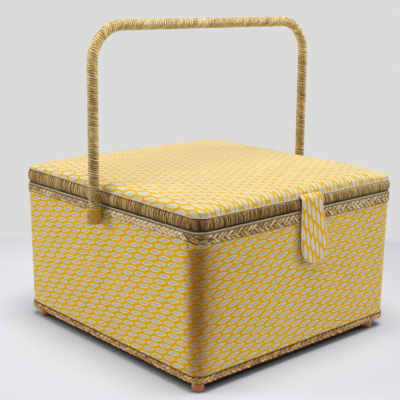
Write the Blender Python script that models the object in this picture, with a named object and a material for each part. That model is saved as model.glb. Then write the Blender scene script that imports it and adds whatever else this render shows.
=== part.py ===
"""A fabric-covered sewing basket: a boarded box on four bead feet, a padded lid hinged at the back,
a twine-wrapped cane bail, a closing tab at the front and a lift-out tray inside.

Metres, +Z up. The front, with the tab, faces -Y, and the origin is on the floor under the middle.
"""
from math import acos, atan2, cos, pi, radians, sin

import bmesh
import bpy
from mathutils import Matrix, Vector

# The box, measured over its cloth at the rim
BODY_WIDTH = 0.300
BODY_DEPTH = 0.308
BODY_RIM_HEIGHT = 0.1620
CORNER_RADIUS = 0.014
WALL_TAPER = 0.0015
FOOT_HEIGHT = 0.0100
TOUCH_GAP = 0.0003
CUT_OVERRUN = 0.002

# What the box is made of
COVER_THICKNESS = 0.0012
BOARD_THICKNESS = 0.0050
LINING_THICKNESS = 0.0010
BOTTOM_CLOTH_THICKNESS = 0.0008
BOTTOM_CLOTH_INSET = 0.0040
FLOOR_PAD_THICKNESS = 0.0020
PANEL_EDGE_BEVEL = 0.0006

# Straw plaits round the rim and the foot of the box, and the cord on the rim
PLAIT_THICKNESS = 0.0011
TOP_PLAIT_WIDTH = 0.0104
TOP_PLAIT_DROP = 0.0003
BOTTOM_PLAIT_WIDTH = 0.0079
RIM_CORD_RADIUS = 0.0009
RIM_CORD_REACH = -0.0002

# Bead feet, set a little unevenly, as they were glued by hand
FOOT_RADIUS = 0.0066
FOOT_WAIST_RADIUS = 0.0050
FOOT_PAD_RADIUS = 0.0042
FOOT_TENON_RADIUS = 0.0025
FOOT_TENON_LENGTH = 0.0040
LEFT_FOOT_INSET = 0.0105
RIGHT_FOOT_INSET = 0.0235
FRONT_FOOT_INSET = 0.0108
BACK_FOOT_INSET = 0.0198

# The lid: a wrapped frame, a padded board on it and a lining under it
LID_CLEARANCE = 0.0010
LID_OVERHANG = 0.0013
BAND_HEIGHT = 0.0139
BAND_DEPTH = 0.0075
BAND_BULGE = 0.0022
WRAP_THICKNESS = 0.0012
LID_BOARD_THICKNESS = 0.0016
LID_CORD_RADIUS = 0.00075
LID_CORD_REACH = -0.0009
LID_CLOTH_THICKNESS = 0.0009
LID_CLOTH_REACH = -0.0006
PADDING_BASE_THICKNESS = 0.0004
ROLL_HEIGHT = 0.0007
ROLL_WIDTH = 0.0035
CROWN_HEIGHT = 0.0106
CROWN_POWER = 5
CROWN_CORNER_GROWTH = 0.7
CROWN_CORNER_SHARE = 0.8
LID_LINING_THICKNESS = 0.0010

# The closing tab and its magnet
TAB_THICKNESS = 0.0022
TAB_TOP_WIDTH = 0.0314
TAB_WIDTH = 0.0416
TAB_DROP = 0.0732
TAB_WIDEST_DROP = 0.0540
TAB_CENTRE_X = 0.0050
TAB_LEAN = 0.0090
TAB_TIP_POWER = 2.2
TAB_STAND_OFF = 0.0012
MAGNET_RADIUS = 0.0070
MAGNET_THICKNESS = 0.0012
MAGNET_DROP = 0.0500
CATCH_PLATE_RADIUS = 0.0080
CATCH_PLATE_THICKNESS = 0.0012

# The bail handle
HANDLE_REACH = 0.0098
PIVOT_DROP = 0.0075
BAR_HEIGHT = 0.3495
LEG_LEAN = 0.0012
BEND_RADIUS = 0.0380
CANE_RADIUS = 0.0042
HANDLE_WRAP_RADIUS = 0.00555
WRAP_GROOVE_DEPTH = 0.0004
WRAP_RIB_PITCH = 0.0072
FERRULE_RADIUS = 0.0080
FERRULE_LENGTH = 0.0173
FERRULE_BELOW_PIVOT = 0.0092
FERRULE_SOCKET_DEPTH = 0.0040
FERRULE_END_THICKNESS = 0.0020
FERRULE_EDGE_BEVEL = 0.0006
WRAP_END_DEPTH = 0.0030
BOLT_RADIUS = 0.0015
BOLT_HEAD_RADIUS = 0.0020
BOLT_HEAD_HEIGHT = 0.0006
NUT_RADIUS = 0.0032
NUT_THICKNESS = 0.0020
WASHER_RADIUS = 0.0048
WASHER_THICKNESS = 0.0008
BOLT_PAST_NUT = 0.0008
HANDLE_SWING_CLEARANCE = 0.0003

# Butt hinges on the back
HINGE_SPACING = 0.180
HINGE_WIDTH = 0.0260
HINGE_LEAF_THICKNESS = 0.0009
HINGE_BARREL_RADIUS = 0.0020
HINGE_PIN_RADIUS = 0.0009
HINGE_BODY_LEAF_HEIGHT = 0.0110
HINGE_LID_LEAF_HEIGHT = 0.0115
HINGE_KNUCKLE_GAP = 0.0004

# Inside: the tray on its ledges, the lid stays, the pocket and the pincushion
LEDGE_WIDTH = 0.0100
LEDGE_HEIGHT = 0.0060
LEDGE_FRONT_SETBACK = 0.0310
LEDGE_BACK_SETBACK = 0.0660
TRAY_SIDE_CLEARANCE = 0.0056
TRAY_HEIGHT = 0.0340
TRAY_RIM_DROP = 0.0027
TRAY_CORNER_RADIUS = 0.0090
TRAY_DRAFT = 0.0012
TRAY_WALL = 0.0022
TRAY_FLOOR = 0.0022
TRAY_FRONT_ROW_DEPTH = 0.0620
TRAY_COLUMNS = 3
TRAY_ROWS = 2
POCKET_FLOOR_FILLET = 0.0040
POCKET_CORNER_RADIUS = 0.0070
THUMB_NOTCH_RADIUS = 0.0120
TRAY_LIP_WIDTH = 0.0016
TRAY_LIP_HEIGHT = 0.0020
STAY_WIDTH = 0.0120
STAY_THICKNESS = 0.0005
STAY_BACK_SETBACK = 0.0460
STAY_WALL_END_DROP = 0.0090
STAY_LOOP_DROP = 0.0500
STAY_BEND_DROP = 0.0020
STAY_LID_END_RISE = 0.0060
LID_POCKET_WIDTH = 0.1150
LID_POCKET_DEPTH = 0.1500
LID_POCKET_PUFF = 0.0080
LID_POCKET_THICKNESS = 0.0012
LID_FITTING_SETBACK = 0.0300
PINCUSHION_LENGTH = 0.1100
PINCUSHION_WIDTH = 0.0700
PINCUSHION_THICKNESS = 0.0100
PINCUSHION_EDGE_THICKNESS = 0.0030

# How finely round forms are cut
CORNER_STEPS = 5
SIDE_STEPS = 6
CROWN_RINGS = 8
ROUND_SIDES = 12
SMALL_SIDES = 10
CORD_SIDES = 6
CANE_SIDES = 8
BEND_STEPS = 10
TAB_TIP_STEPS = 10
CUSHION_STEPS = 12

HALF_WIDTH = BODY_WIDTH / 2
HALF_DEPTH = BODY_DEPTH / 2
BACK = HALF_DEPTH
FRONT = -HALF_DEPTH
PIVOT_HEIGHT = BODY_RIM_HEIGHT - PIVOT_DROP


# Where one layer ends and the next begins

COVER_INNER = -COVER_THICKNESS
BOARD_OUTER = COVER_INNER - TOUCH_GAP
BOARD_INNER = BOARD_OUTER - BOARD_THICKNESS
LINING_OUTER = BOARD_INNER - TOUCH_GAP
LINING_INNER = LINING_OUTER - LINING_THICKNESS
PLAIT_INNER = TOUCH_GAP
PLAIT_OUTER = PLAIT_INNER + PLAIT_THICKNESS

BOTTOM_CLOTH_TOP = FOOT_HEIGHT + BOTTOM_CLOTH_THICKNESS
BASE_BOTTOM = BOTTOM_CLOTH_TOP + TOUCH_GAP
BASE_TOP = BASE_BOTTOM + BOARD_THICKNESS
WALL_BOTTOM = BASE_TOP + TOUCH_GAP
RIM_CORD_HEIGHT = BODY_RIM_HEIGHT + TOUCH_GAP + RIM_CORD_RADIUS
TOP_PLAIT_TOP = BODY_RIM_HEIGHT - TOP_PLAIT_DROP

BAND_BOTTOM = RIM_CORD_HEIGHT + RIM_CORD_RADIUS + LID_CLEARANCE
BAND_TOP = BAND_BOTTOM + BAND_HEIGHT
BAND_INNER = LID_OVERHANG - BAND_DEPTH
LID_BOARD_BOTTOM = BAND_TOP + TOUCH_GAP
LID_BOARD_TOP = LID_BOARD_BOTTOM + LID_BOARD_THICKNESS
LID_CORD_HEIGHT = BAND_TOP + TOUCH_GAP + LID_CORD_RADIUS
LID_CLOTH_BOTTOM = LID_CORD_HEIGHT + LID_CORD_RADIUS + TOUCH_GAP
LID_CLOTH_INNER = LID_CLOTH_REACH - LID_CLOTH_THICKNESS
LID_BOARD_REACH = LID_CLOTH_INNER - TOUCH_GAP
LID_LINING_REACH = BAND_INNER - TOUCH_GAP
LID_LINING_TOP = LID_BOARD_BOTTOM - TOUCH_GAP
LID_LINING_FACE = LID_LINING_TOP - LID_LINING_THICKNESS

LEDGE_TOP_HEIGHT = BODY_RIM_HEIGHT - TRAY_RIM_DROP - TRAY_HEIGHT - TOUCH_GAP

HINGE_LEAF_REACH = PLAIT_OUTER + TOUCH_GAP
HINGE_AXIS_REACH = HINGE_LEAF_REACH + HINGE_BARREL_RADIUS
HINGE_AXIS_HEIGHT = (RIM_CORD_HEIGHT + RIM_CORD_RADIUS + BAND_BOTTOM) / 2
TAB_REACH = max(LID_OVERHANG, PLAIT_OUTER) + TOUCH_GAP
TAB_FOLD_REACH = TAB_REACH + TAB_THICKNESS
TAB_FOLD_HEIGHT = BAND_BOTTOM
TAB_OUTER_REACH = TAB_FOLD_REACH + TAB_STAND_OFF

# The box stands so that the whole basket, tab and hinge barrels included, is centred on the origin
BOX_SHIFT = (TAB_OUTER_REACH - HINGE_AXIS_REACH - HINGE_BARREL_RADIUS) / 2


def wall_inset(height):
    """How far the walls lean in at a height: nothing at the rim, the whole taper at the floor."""
    return WALL_TAPER * (BODY_RIM_HEIGHT - height) / (BODY_RIM_HEIGHT - FOOT_HEIGHT)


# Making a mesh into a named, coloured piece

def clear_scene():
    for obj in list(bpy.data.objects):
        bpy.data.objects.remove(obj, do_unlink=True)


def finish_of(name, colour, roughness, metallic=0.0):
    """A plain Principled material."""
    material = bpy.data.materials.new(name)
    material.use_nodes = True
    shader = material.node_tree.nodes["Principled BSDF"]
    shader.inputs["Base Color"].default_value = (*colour, 1.0)
    shader.inputs["Roughness"].default_value = roughness
    shader.inputs["Metallic"].default_value = metallic
    material.diffuse_color = (*colour, 1.0)
    return material


def axis_empty(name, place, parent=None):
    """An empty on a joint's axis, given in box coordinates."""
    empty = bpy.data.objects.new(name, None)
    bpy.context.collection.objects.link(empty)
    empty["box_place"] = place
    if parent:
        empty.parent = parent
        empty.location = Vector(place) - Vector(parent["box_place"])
    else:
        empty.location = Vector(place) + Vector((0, BOX_SHIFT, 0))
    return empty


def piece(name, bm, material, body):
    """Turn a bmesh in box coordinates into an object whose origin is on its body's axis."""
    bmesh.ops.recalc_face_normals(bm, faces=bm.faces)
    bmesh.ops.translate(bm, verts=bm.verts, vec=-Vector(body["box_place"]))
    mesh = bpy.data.meshes.new(name)
    bm.to_mesh(mesh)
    bm.free()
    mesh.materials.append(material)
    mesh.shade_smooth()
    mesh.set_sharp_from_angle(angle=radians(35))
    obj = bpy.data.objects.new(name, mesh)
    bpy.context.collection.objects.link(obj)
    obj.parent = body
    return obj


def cut(obj, cutter):
    """Take a cutter out of a piece with a live Boolean."""
    boolean = obj.modifiers.new("cut_" + cutter.name, 'BOOLEAN')
    boolean.operation = 'DIFFERENCE'
    boolean.object = cutter
    return boolean


def as_cutter(obj):
    obj.hide_render = True
    obj.display_type = 'WIRE'
    return obj


def soften(obj, width, limit=radians(50)):
    """Round a piece's sharp edges with a one-step bevel."""
    bevel = obj.modifiers.new("edges", 'BEVEL')
    bevel.width = width
    bevel.segments = 1
    bevel.limit_method = 'ANGLE'
    bevel.angle_limit = limit
    return bevel


# Outlines and the solids made from them

def rounded_outline(half_x, half_y, radius, side_steps=1):
    """The corner arcs and side points of a rounded rectangle, anticlockwise from +X."""
    corners = ((1, 1), (-1, 1), (-1, -1), (1, -1))
    arcs = []
    for turn, (sign_x, sign_y) in enumerate(corners):
        centre = Vector((sign_x * (half_x - radius), sign_y * (half_y - radius)))
        arc = []
        for step in range(CORNER_STEPS + 1):
            angle = (turn + step / CORNER_STEPS) * pi / 2
            arc.append(centre + radius * Vector((cos(angle), sin(angle))))
        arcs.append(arc)
    points = []
    for arc, following in zip(arcs, arcs[1:] + arcs[:1]):
        points.extend(arc)
        for step in range(1, side_steps):
            points.append(arc[-1].lerp(following[0], step / side_steps))
    return points


def box_outline(reach, height=None, side_steps=1):
    """The box's outline moved out by a reach, and in by the taper where a height is given."""
    if height is not None:
        reach = reach - wall_inset(height)
    return rounded_outline(HALF_WIDTH + reach, HALF_DEPTH + reach, CORNER_RADIUS + reach, side_steps)


def stacked(bm, rings, closed=False):
    """Join rings of 3-D points into side walls; cap the ends unless the stack closes on itself."""
    loops = [[bm.verts.new(point) for point in ring] for ring in rings]
    pairs = list(zip(loops, loops[1:]))
    if closed:
        pairs.append((loops[-1], loops[0]))
    count = len(loops[0])
    for lower, upper in pairs:
        for here in range(count):
            after = (here + 1) % count
            bm.faces.new((lower[here], lower[after], upper[after], upper[here]))
    if not closed:
        bm.faces.new(list(reversed(loops[0])))
        bm.faces.new(loops[-1])
    return bm


def at_height(outline, height):
    return [Vector((point.x, point.y, height)) for point in outline]


def plate(outline_rings):
    """A solid from (outline, height) pairs, bottom to top."""
    return stacked(bmesh.new(), [at_height(outline, height) for outline, height in outline_rings])


def band(section, tapered=False):
    """A closed band round the box from its section, a loop of (reach, height) points."""
    rings = []
    for reach, height in section:
        rings.append(at_height(box_outline(reach, height if tapered else None), height))
    return stacked(bmesh.new(), rings, closed=True)


def flat_section(inner, outer, bottom, top):
    return [(inner, bottom), (outer, bottom), (outer, top), (inner, top)]


def pillow_section(inner, outer, bottom, top):
    """A plait's section: flat at the back, rounded over at the face."""
    shoulder = (top - bottom) / 5
    return [(inner, bottom), (outer - (outer - inner) / 2, bottom), (outer, bottom + shoulder),
            (outer, top - shoulder), (outer - (outer - inner) / 2, top), (inner, top)]


def round_section(reach, height, radius):
    points = []
    for step in range(CORD_SIDES):
        angle = (step + 1 / 2) * 2 * pi / CORD_SIDES
        points.append((reach + radius * cos(angle), height + radius * sin(angle)))
    return points


def turned(profile, centre, sides=ROUND_SIDES, axis='Z', bm=None):
    """Spin a closed or axis-to-axis (radius, along) profile about a line through a point."""
    bm = bm or bmesh.new()
    turn = Matrix.Identity(4)
    if axis == 'X':
        turn = Matrix.Rotation(pi / 2, 4, 'Y')
    if axis == '-X':
        turn = Matrix.Rotation(-pi / 2, 4, 'Y')
    if axis == '-Y':
        turn = Matrix.Rotation(pi / 2, 4, 'X')
    place = Matrix.Translation(centre) @ turn
    on_axis = profile[0][0] == 0
    rings = []
    for radius, along in profile:
        if radius == 0:
            rings.append([bm.verts.new(place @ Vector((0, 0, along)))])
            continue
        ring = []
        for step in range(sides):
            angle = step * 2 * pi / sides
            ring.append(bm.verts.new(place @ Vector((radius * cos(angle), radius * sin(angle), along))))
        rings.append(ring)
    pairs = list(zip(rings, rings[1:]))
    if not on_axis:
        pairs.append((rings[-1], rings[0]))
    for lower, upper in pairs:
        for here in range(sides):
            after = (here + 1) % sides
            corners = [lower[here % len(lower)], lower[after % len(lower)],
                       upper[after % len(upper)], upper[here % len(upper)]]
            bm.faces.new(list(dict.fromkeys(corners)))
    return bm


def rod(centre, radius, start, end, sides=ROUND_SIDES, axis='Z', bm=None):
    """A plain cylinder from start to end along its axis."""
    return turned([(0, start), (radius, start), (radius, end), (0, end)], centre, sides, axis, bm)


def block(low, high, bm=None):
    """A plain box between two corners."""
    bm = bm or bmesh.new()
    low, high = Vector(low), Vector(high)
    made = bmesh.ops.create_cube(bm, size=1)
    for vert in made["verts"]:
        share = vert.co + Vector((0.5, 0.5, 0.5))
        vert.co = low + Vector(share[i] * (high - low)[i] for i in range(3))
    return bm


# The boarded box

def make_base(body, finishes, feet_places):
    """The base board and the cloth under it, both bored for the feet's tenons."""
    holes = bmesh.new()
    for x, y in feet_places:
        rod((x, y, 0), FOOT_TENON_RADIUS + TOUCH_GAP, FOOT_HEIGHT - CUT_OVERRUN,
            FOOT_HEIGHT + FOOT_TENON_LENGTH, bm=holes)
    tenon_holes = as_cutter(piece("tenon_holes", holes, finishes["board"], body))
    board = plate([(box_outline(BOARD_OUTER, BASE_BOTTOM), BASE_BOTTOM),
                   (box_outline(BOARD_OUTER, BASE_TOP), BASE_TOP)])
    cut(piece("base_board", board, finishes["board"], body), tenon_holes)
    cloth = plate([(box_outline(-BOTTOM_CLOTH_INSET, FOOT_HEIGHT), FOOT_HEIGHT),
                   (box_outline(-BOTTOM_CLOTH_INSET, FOOT_HEIGHT), BOTTOM_CLOTH_TOP)])
    cut(piece("bottom_cloth", cloth, finishes["lining"], body), tenon_holes)


def feet_places():
    """Each foot's name and centre."""
    sides = {"left": -HALF_WIDTH + LEFT_FOOT_INSET, "right": HALF_WIDTH - RIGHT_FOOT_INSET}
    ends = {"front": FRONT + FRONT_FOOT_INSET, "back": BACK - BACK_FOOT_INSET}
    return {f"foot_{end}_{side}": (x, y) for end, y in ends.items() for side, x in sides.items()}


def make_feet(body, finishes):
    """Turned wooden beads, each with a tenon glued up into the base board."""
    crown = FOOT_HEIGHT - TOUCH_GAP
    profile = [(0, 0), (FOOT_PAD_RADIUS, 0), (FOOT_RADIUS, crown * 2 / 5), (FOOT_RADIUS, crown * 3 / 5),
               (FOOT_WAIST_RADIUS, crown), (FOOT_TENON_RADIUS, crown),
               (FOOT_TENON_RADIUS, crown + FOOT_TENON_LENGTH), (0, crown + FOOT_TENON_LENGTH)]
    for name, (x, y) in feet_places().items():
        piece(name, turned(profile, (x, y, 0)), finishes["bead"], body)


def leaning_panel(axis, sign, half_length):
    """A flat wall panel whose faces lean in with the taper, its length along x or y."""
    half = HALF_DEPTH if axis == 'X' else HALF_WIDTH
    rings = []
    for height in (WALL_BOTTOM, BODY_RIM_HEIGHT):
        inner = sign * (half + BOARD_INNER - wall_inset(height))
        outer = sign * (half + BOARD_OUTER - wall_inset(height))
        corners = [(-half_length, inner), (half_length, inner), (half_length, outer), (-half_length, outer)]
        if axis == 'Y':
            corners = [(across, along) for along, across in corners]
        rings.append([Vector((x, y, height)) for x, y in corners])
    return stacked(bmesh.new(), rings)


def corner_strip(sign_x, sign_y):
    """A quarter-round moulding between two panels."""
    centre = Vector((sign_x * (HALF_WIDTH - CORNER_RADIUS), sign_y * (HALF_DEPTH - CORNER_RADIUS)))
    start = atan2(sign_y, sign_x) - pi / 4
    rings = []
    for height in (WALL_BOTTOM, BODY_RIM_HEIGHT):
        outer = CORNER_RADIUS + BOARD_OUTER - wall_inset(height)
        inner = CORNER_RADIUS + BOARD_INNER - wall_inset(height)
        arcs = []
        for radius, steps in ((outer, range(CORNER_STEPS + 1)), (inner, range(CORNER_STEPS, -1, -1))):
            for step in steps:
                angle = start + step / CORNER_STEPS * pi / 2
                arcs.append(centre + radius * Vector((cos(angle), sin(angle))))
        rings.append(at_height(arcs, height))
    return stacked(bmesh.new(), rings)


def make_walls(body, finishes):
    """Four leaning panels and four corner strips, standing on the base board."""
    straight_x = HALF_WIDTH - CORNER_RADIUS - TOUCH_GAP
    straight_y = HALF_DEPTH - CORNER_RADIUS - TOUCH_GAP
    panels = {}
    for name, axis, sign, half_length in (("panel_front", 'X', -1, straight_x),
                                          ("panel_back", 'X', 1, straight_x),
                                          ("panel_left", 'Y', -1, straight_y),
                                          ("panel_right", 'Y', 1, straight_y)):
        panels[name] = piece(name, leaning_panel(axis, sign, half_length), finishes["board"], body)
    for end, sign_y in (("front", -1), ("back", 1)):
        for side, sign_x in (("left", -1), ("right", 1)):
            piece(f"corner_strip_{end}_{side}", corner_strip(sign_x, sign_y), finishes["wood"], body)
    return panels


def make_cloth_walls(body, finishes):
    """The patterned cover outside, the plain lining inside and the pad on the floor."""
    turned_under = -BOTTOM_CLOTH_INSET + TOUCH_GAP
    cover = band([(turned_under, FOOT_HEIGHT), (0, FOOT_HEIGHT), (0, BODY_RIM_HEIGHT),
                  (COVER_INNER, BODY_RIM_HEIGHT), (COVER_INNER, BOTTOM_CLOTH_TOP),
                  (turned_under, BOTTOM_CLOTH_TOP)], tapered=True)
    lining = band(flat_section(LINING_INNER, LINING_OUTER, WALL_BOTTOM, BODY_RIM_HEIGHT), tapered=True)
    pad_reach = LINING_INNER - TOUCH_GAP
    pad = plate([(box_outline(pad_reach, WALL_BOTTOM), WALL_BOTTOM),
                 (box_outline(pad_reach, WALL_BOTTOM), WALL_BOTTOM + FLOOR_PAD_THICKNESS)])
    pieces = {"outer_cover": piece("outer_cover", cover, finishes["leaf cloth"], body),
              "wall_lining": piece("wall_lining", lining, finishes["lining"], body)}
    floor_pad = piece("floor_pad", pad, finishes["lining"], body)
    soften(floor_pad, FLOOR_PAD_THICKNESS / 4)
    return pieces


def make_trims(body, finishes):
    """The two straw plaits and the pale cord that sits on the rim."""
    top = band(pillow_section(PLAIT_INNER, PLAIT_OUTER, TOP_PLAIT_TOP - TOP_PLAIT_WIDTH, TOP_PLAIT_TOP),
               tapered=True)
    bottom = band(pillow_section(PLAIT_INNER, PLAIT_OUTER, FOOT_HEIGHT,
                                 FOOT_HEIGHT + BOTTOM_PLAIT_WIDTH), tapered=True)
    cord = band(round_section(RIM_CORD_REACH, RIM_CORD_HEIGHT, RIM_CORD_RADIUS))
    piece("bottom_plait", bottom, finishes["straw"], body)
    piece("rim_cord", cord, finishes["cord"], body)
    return piece("top_plait", top, finishes["straw"], body)


# The bail handle and what holds it

def handle_path():
    """The cane's centre line: up one leaning leg, round two bends, down the other leg."""
    foot_x = HALF_WIDTH + HANDLE_REACH
    foot_z = PIVOT_HEIGHT - FERRULE_BELOW_PIVOT + FERRULE_END_THICKNESS + TOUCH_GAP
    lean = atan2(LEG_LEAN, BAR_HEIGHT - BEND_RADIUS - PIVOT_HEIGHT)
    leg_top_z = BAR_HEIGHT - BEND_RADIUS * (1 - sin(lean))
    leg_top_x = foot_x - (leg_top_z - PIVOT_HEIGHT) * LEG_LEAN / (BAR_HEIGHT - BEND_RADIUS - PIVOT_HEIGHT)
    start_x = foot_x + (PIVOT_HEIGHT - foot_z) * LEG_LEAN / (BAR_HEIGHT - BEND_RADIUS - PIVOT_HEIGHT)
    centre = Vector((leg_top_x - BEND_RADIUS * cos(lean), 0, BAR_HEIGHT - BEND_RADIUS))
    right = [Vector((start_x, 0, foot_z))]
    for step in range(BEND_STEPS + 1):
        angle = lean + step / BEND_STEPS * (pi / 2 - lean)
        right.append(centre + BEND_RADIUS * Vector((cos(angle), 0, sin(angle))))
    left = [Vector((-point.x, 0, point.z)) for point in reversed(right)]
    return right + left


def resampled(path, pitch):
    """Points along a path at an even pitch, the ends kept."""
    lengths = [0]
    for here, after in zip(path, path[1:]):
        lengths.append(lengths[-1] + (after - here).length)
    count = max(1, round(lengths[-1] / pitch))
    points = []
    segment = 0
    for step in range(count + 1):
        target = min(lengths[-1] * step / count, lengths[-1])
        while segment < len(path) - 2 and lengths[segment + 1] < target:
            segment += 1
        share = (target - lengths[segment]) / (lengths[segment + 1] - lengths[segment])
        points.append(path[segment].lerp(path[segment + 1], share))
    return points


def rings_along(path, radii, sides):
    """Rings of points square to a path that lies in the XZ plane."""
    rings = []
    for index, (point, radius) in enumerate(zip(path, radii)):
        before = path[max(index - 1, 0)]
        after = path[min(index + 1, len(path) - 1)]
        along = (after - before).normalized()
        across = Vector((0, 1, 0))
        outward = along.cross(across)
        ring = []
        for step in range(sides):
            angle = (step + 1 / 2) * 2 * pi / sides
            ring.append(point + radius * (cos(angle) * outward + sin(angle) * across))
        rings.append(ring)
    return rings


def trimmed(path, length):
    """A path with its two straight ends shortened by a length."""
    path = list(path)
    for end, neighbour in ((0, 1), (-1, -2)):
        run = path[neighbour] - path[end]
        path[end] = path[end] + run.normalized() * length
    return path


def make_wrap_mesh(path):
    """Twine wound on the cane: a sleeve with a rib for each few turns and a plain bore."""
    ribs = resampled(path, WRAP_RIB_PITCH / 2)
    radii = []
    for index in range(len(ribs)):
        groove = WRAP_GROOVE_DEPTH if index % 2 else 0
        radii.append(HANDLE_WRAP_RADIUS - groove)
    outer = rings_along(ribs, radii, CANE_SIDES)
    bore = rings_along(path, [CANE_RADIUS + TOUCH_GAP] * len(path), CANE_SIDES)
    return stacked(bmesh.new(), outer + bore[::-1], closed=True)


def make_ferrule_mesh(sign):
    """A turned cup that the wrapped cane's end stands in, its top opened out for the wrap."""
    bottom = PIVOT_HEIGHT - FERRULE_BELOW_PIVOT
    top = bottom + FERRULE_LENGTH
    bore = CANE_RADIUS + TOUCH_GAP
    socket = HANDLE_WRAP_RADIUS + TOUCH_GAP
    bevel = FERRULE_EDGE_BEVEL
    profile = [(0, bottom), (FERRULE_RADIUS - bevel, bottom), (FERRULE_RADIUS, bottom + bevel),
               (FERRULE_RADIUS, top - bevel), (FERRULE_RADIUS - bevel, top), (socket, top),
               (socket, top - FERRULE_SOCKET_DEPTH), (bore, top - FERRULE_SOCKET_DEPTH),
               (bore, bottom + FERRULE_END_THICKNESS), (0, bottom + FERRULE_END_THICKNESS)]
    mesh = turned(profile, (0, 0, 0), sides=ROUND_SIDES)
    lean = atan2(LEG_LEAN, BAR_HEIGHT - BEND_RADIUS - PIVOT_HEIGHT)
    pivot = Vector((0, 0, PIVOT_HEIGHT))
    tilt = Matrix.Translation(pivot) @ Matrix.Rotation(-sign * lean, 4, 'Y') @ Matrix.Translation(-pivot)
    place = Matrix.Translation((sign * (HALF_WIDTH + HANDLE_REACH), 0, 0))
    bmesh.ops.transform(mesh, matrix=place @ tilt, verts=mesh.verts)
    return mesh


def make_handle(handle, finishes):
    """The cane, its twine wrap and the two ferrules; all bored across for the pivot bolts."""
    reach = HALF_WIDTH + HANDLE_REACH + FERRULE_RADIUS + CUT_OVERRUN
    inner = HALF_WIDTH + HANDLE_REACH - FERRULE_RADIUS - CUT_OVERRUN
    bores = bmesh.new()
    for sign in (-1, 1):
        rod((0, 0, PIVOT_HEIGHT), BOLT_RADIUS + HANDLE_SWING_CLEARANCE, sign * inner, sign * reach,
            sides=SMALL_SIDES, axis='X', bm=bores)
    pivot_bores = as_cutter(piece("pivot_bores", bores, finishes["cane"], handle))
    path = handle_path()
    cane = stacked(bmesh.new(), rings_along(path, [CANE_RADIUS] * len(path), CANE_SIDES))
    cut(piece("handle_cane", cane, finishes["cane"], handle), pivot_bores)
    ferrule_top = PIVOT_HEIGHT - FERRULE_BELOW_PIVOT + FERRULE_LENGTH
    piece("handle_wrap", make_wrap_mesh(trimmed(path, ferrule_top - WRAP_END_DEPTH - path[0].z)),
          finishes["straw"], handle)
    for side, sign in (("left", -1), ("right", 1)):
        ferrule = piece(f"ferrule_{side}", make_ferrule_mesh(sign), finishes["bamboo"], handle)
        cut(ferrule, pivot_bores)


def make_pivot_bolts(body, finishes, drilled):
    """Two bolts through the ferrules and the box's sides, each with a washer and a nut inside."""
    inside = HALF_WIDTH + LINING_INNER - wall_inset(PIVOT_HEIGHT) - TOUCH_GAP
    outside = HALF_WIDTH + HANDLE_REACH + FERRULE_RADIUS + TOUCH_GAP
    washer_inner = inside - WASHER_THICKNESS
    nut_outer = washer_inner - TOUCH_GAP
    nut_inner = nut_outer - NUT_THICKNESS
    centre = (0, 0, PIVOT_HEIGHT)
    bore = BOLT_RADIUS + TOUCH_GAP
    bolt = [(0, nut_inner - BOLT_PAST_NUT), (BOLT_RADIUS, nut_inner - BOLT_PAST_NUT), (BOLT_RADIUS, outside),
            (BOLT_HEAD_RADIUS, outside), (BOLT_HEAD_RADIUS * 2 / 3, outside + BOLT_HEAD_HEIGHT),
            (0, outside + BOLT_HEAD_HEIGHT)]
    nut = [(bore, nut_inner), (NUT_RADIUS, nut_inner), (NUT_RADIUS, nut_outer), (bore, nut_outer)]
    washer = [(bore, washer_inner), (WASHER_RADIUS, washer_inner), (WASHER_RADIUS, inside), (bore, inside)]
    holes = bmesh.new()
    for side, axis in (("left", '-X'), ("right", 'X')):
        piece(f"pivot_bolt_{side}", turned(bolt, centre, SMALL_SIDES, axis), finishes["steel"], body)
        piece(f"pivot_nut_{side}", turned(nut, centre, CORD_SIDES, axis), finishes["steel"], body)
        piece(f"pivot_washer_{side}", turned(washer, centre, ROUND_SIDES, axis), finishes["steel"], body)
        past_plait = HALF_WIDTH + PLAIT_OUTER + CUT_OVERRUN
        rod(centre, bore, inside - CUT_OVERRUN, past_plait, SMALL_SIDES, axis, holes)
    bolt_holes = as_cutter(piece("bolt_holes", holes, finishes["steel"], body))
    for obj in drilled:
        cut(obj, bolt_holes)


# The lid

def make_lid_frame(lid, finishes):
    """The wooden strip round the lid and the straw wound over it, open at the back of the strip."""
    bottom, top = BAND_BOTTOM, BAND_TOP
    middle = (bottom + top) / 2
    outer, inner, wrap, gap = LID_OVERHANG, BAND_INNER, WRAP_THICKNESS, TOUCH_GAP
    shoulder = outer - BAND_BULGE
    knee = (top - bottom) / 5
    outside = [(inner, bottom), (shoulder, bottom), (outer - BAND_BULGE / 4, bottom + knee), (outer, middle),
               (outer - BAND_BULGE / 4, top - knee), (shoulder, top), (inner, top)]
    inside = [(inner, bottom + wrap), (shoulder - wrap / 2, bottom + wrap),
              (outer - BAND_BULGE / 4 - wrap, bottom + knee + wrap / 2), (outer - wrap, middle),
              (outer - BAND_BULGE / 4 - wrap, top - knee - wrap / 2), (shoulder - wrap / 2, top - wrap),
              (inner, top - wrap)]
    piece("lid_band_wrap", band(outside + inside[::-1]), finishes["straw"], lid)
    strip = [(inner, bottom + wrap + gap), (shoulder - wrap / 2 - gap, bottom + wrap + gap),
             (outer - BAND_BULGE / 4 - wrap - gap, bottom + knee + wrap / 2 + gap),
             (outer - wrap - gap, middle),
             (outer - BAND_BULGE / 4 - wrap - gap, top - knee - wrap / 2 - gap),
             (shoulder - wrap / 2 - gap, top - wrap - gap), (inner, top - wrap - gap)]
    piece("lid_frame_strip", band(strip), finishes["wood"], lid)


def crown_rise(x, y, inset, reach):
    """Height of the padded lid over its edge: a tight roll first, then a broad, flat-topped crown."""
    near = max(0, 1 - inset / ROLL_WIDTH)
    roll = ROLL_HEIGHT * (1 - near ** 2) ** 0.5
    across = min(1, abs(x) / (HALF_WIDTH + reach))
    along = min(1, abs(y) / (HALF_DEPTH + reach))
    return roll + CROWN_HEIGHT * (1 - across ** CROWN_POWER) * (1 - along ** CROWN_POWER)


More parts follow.
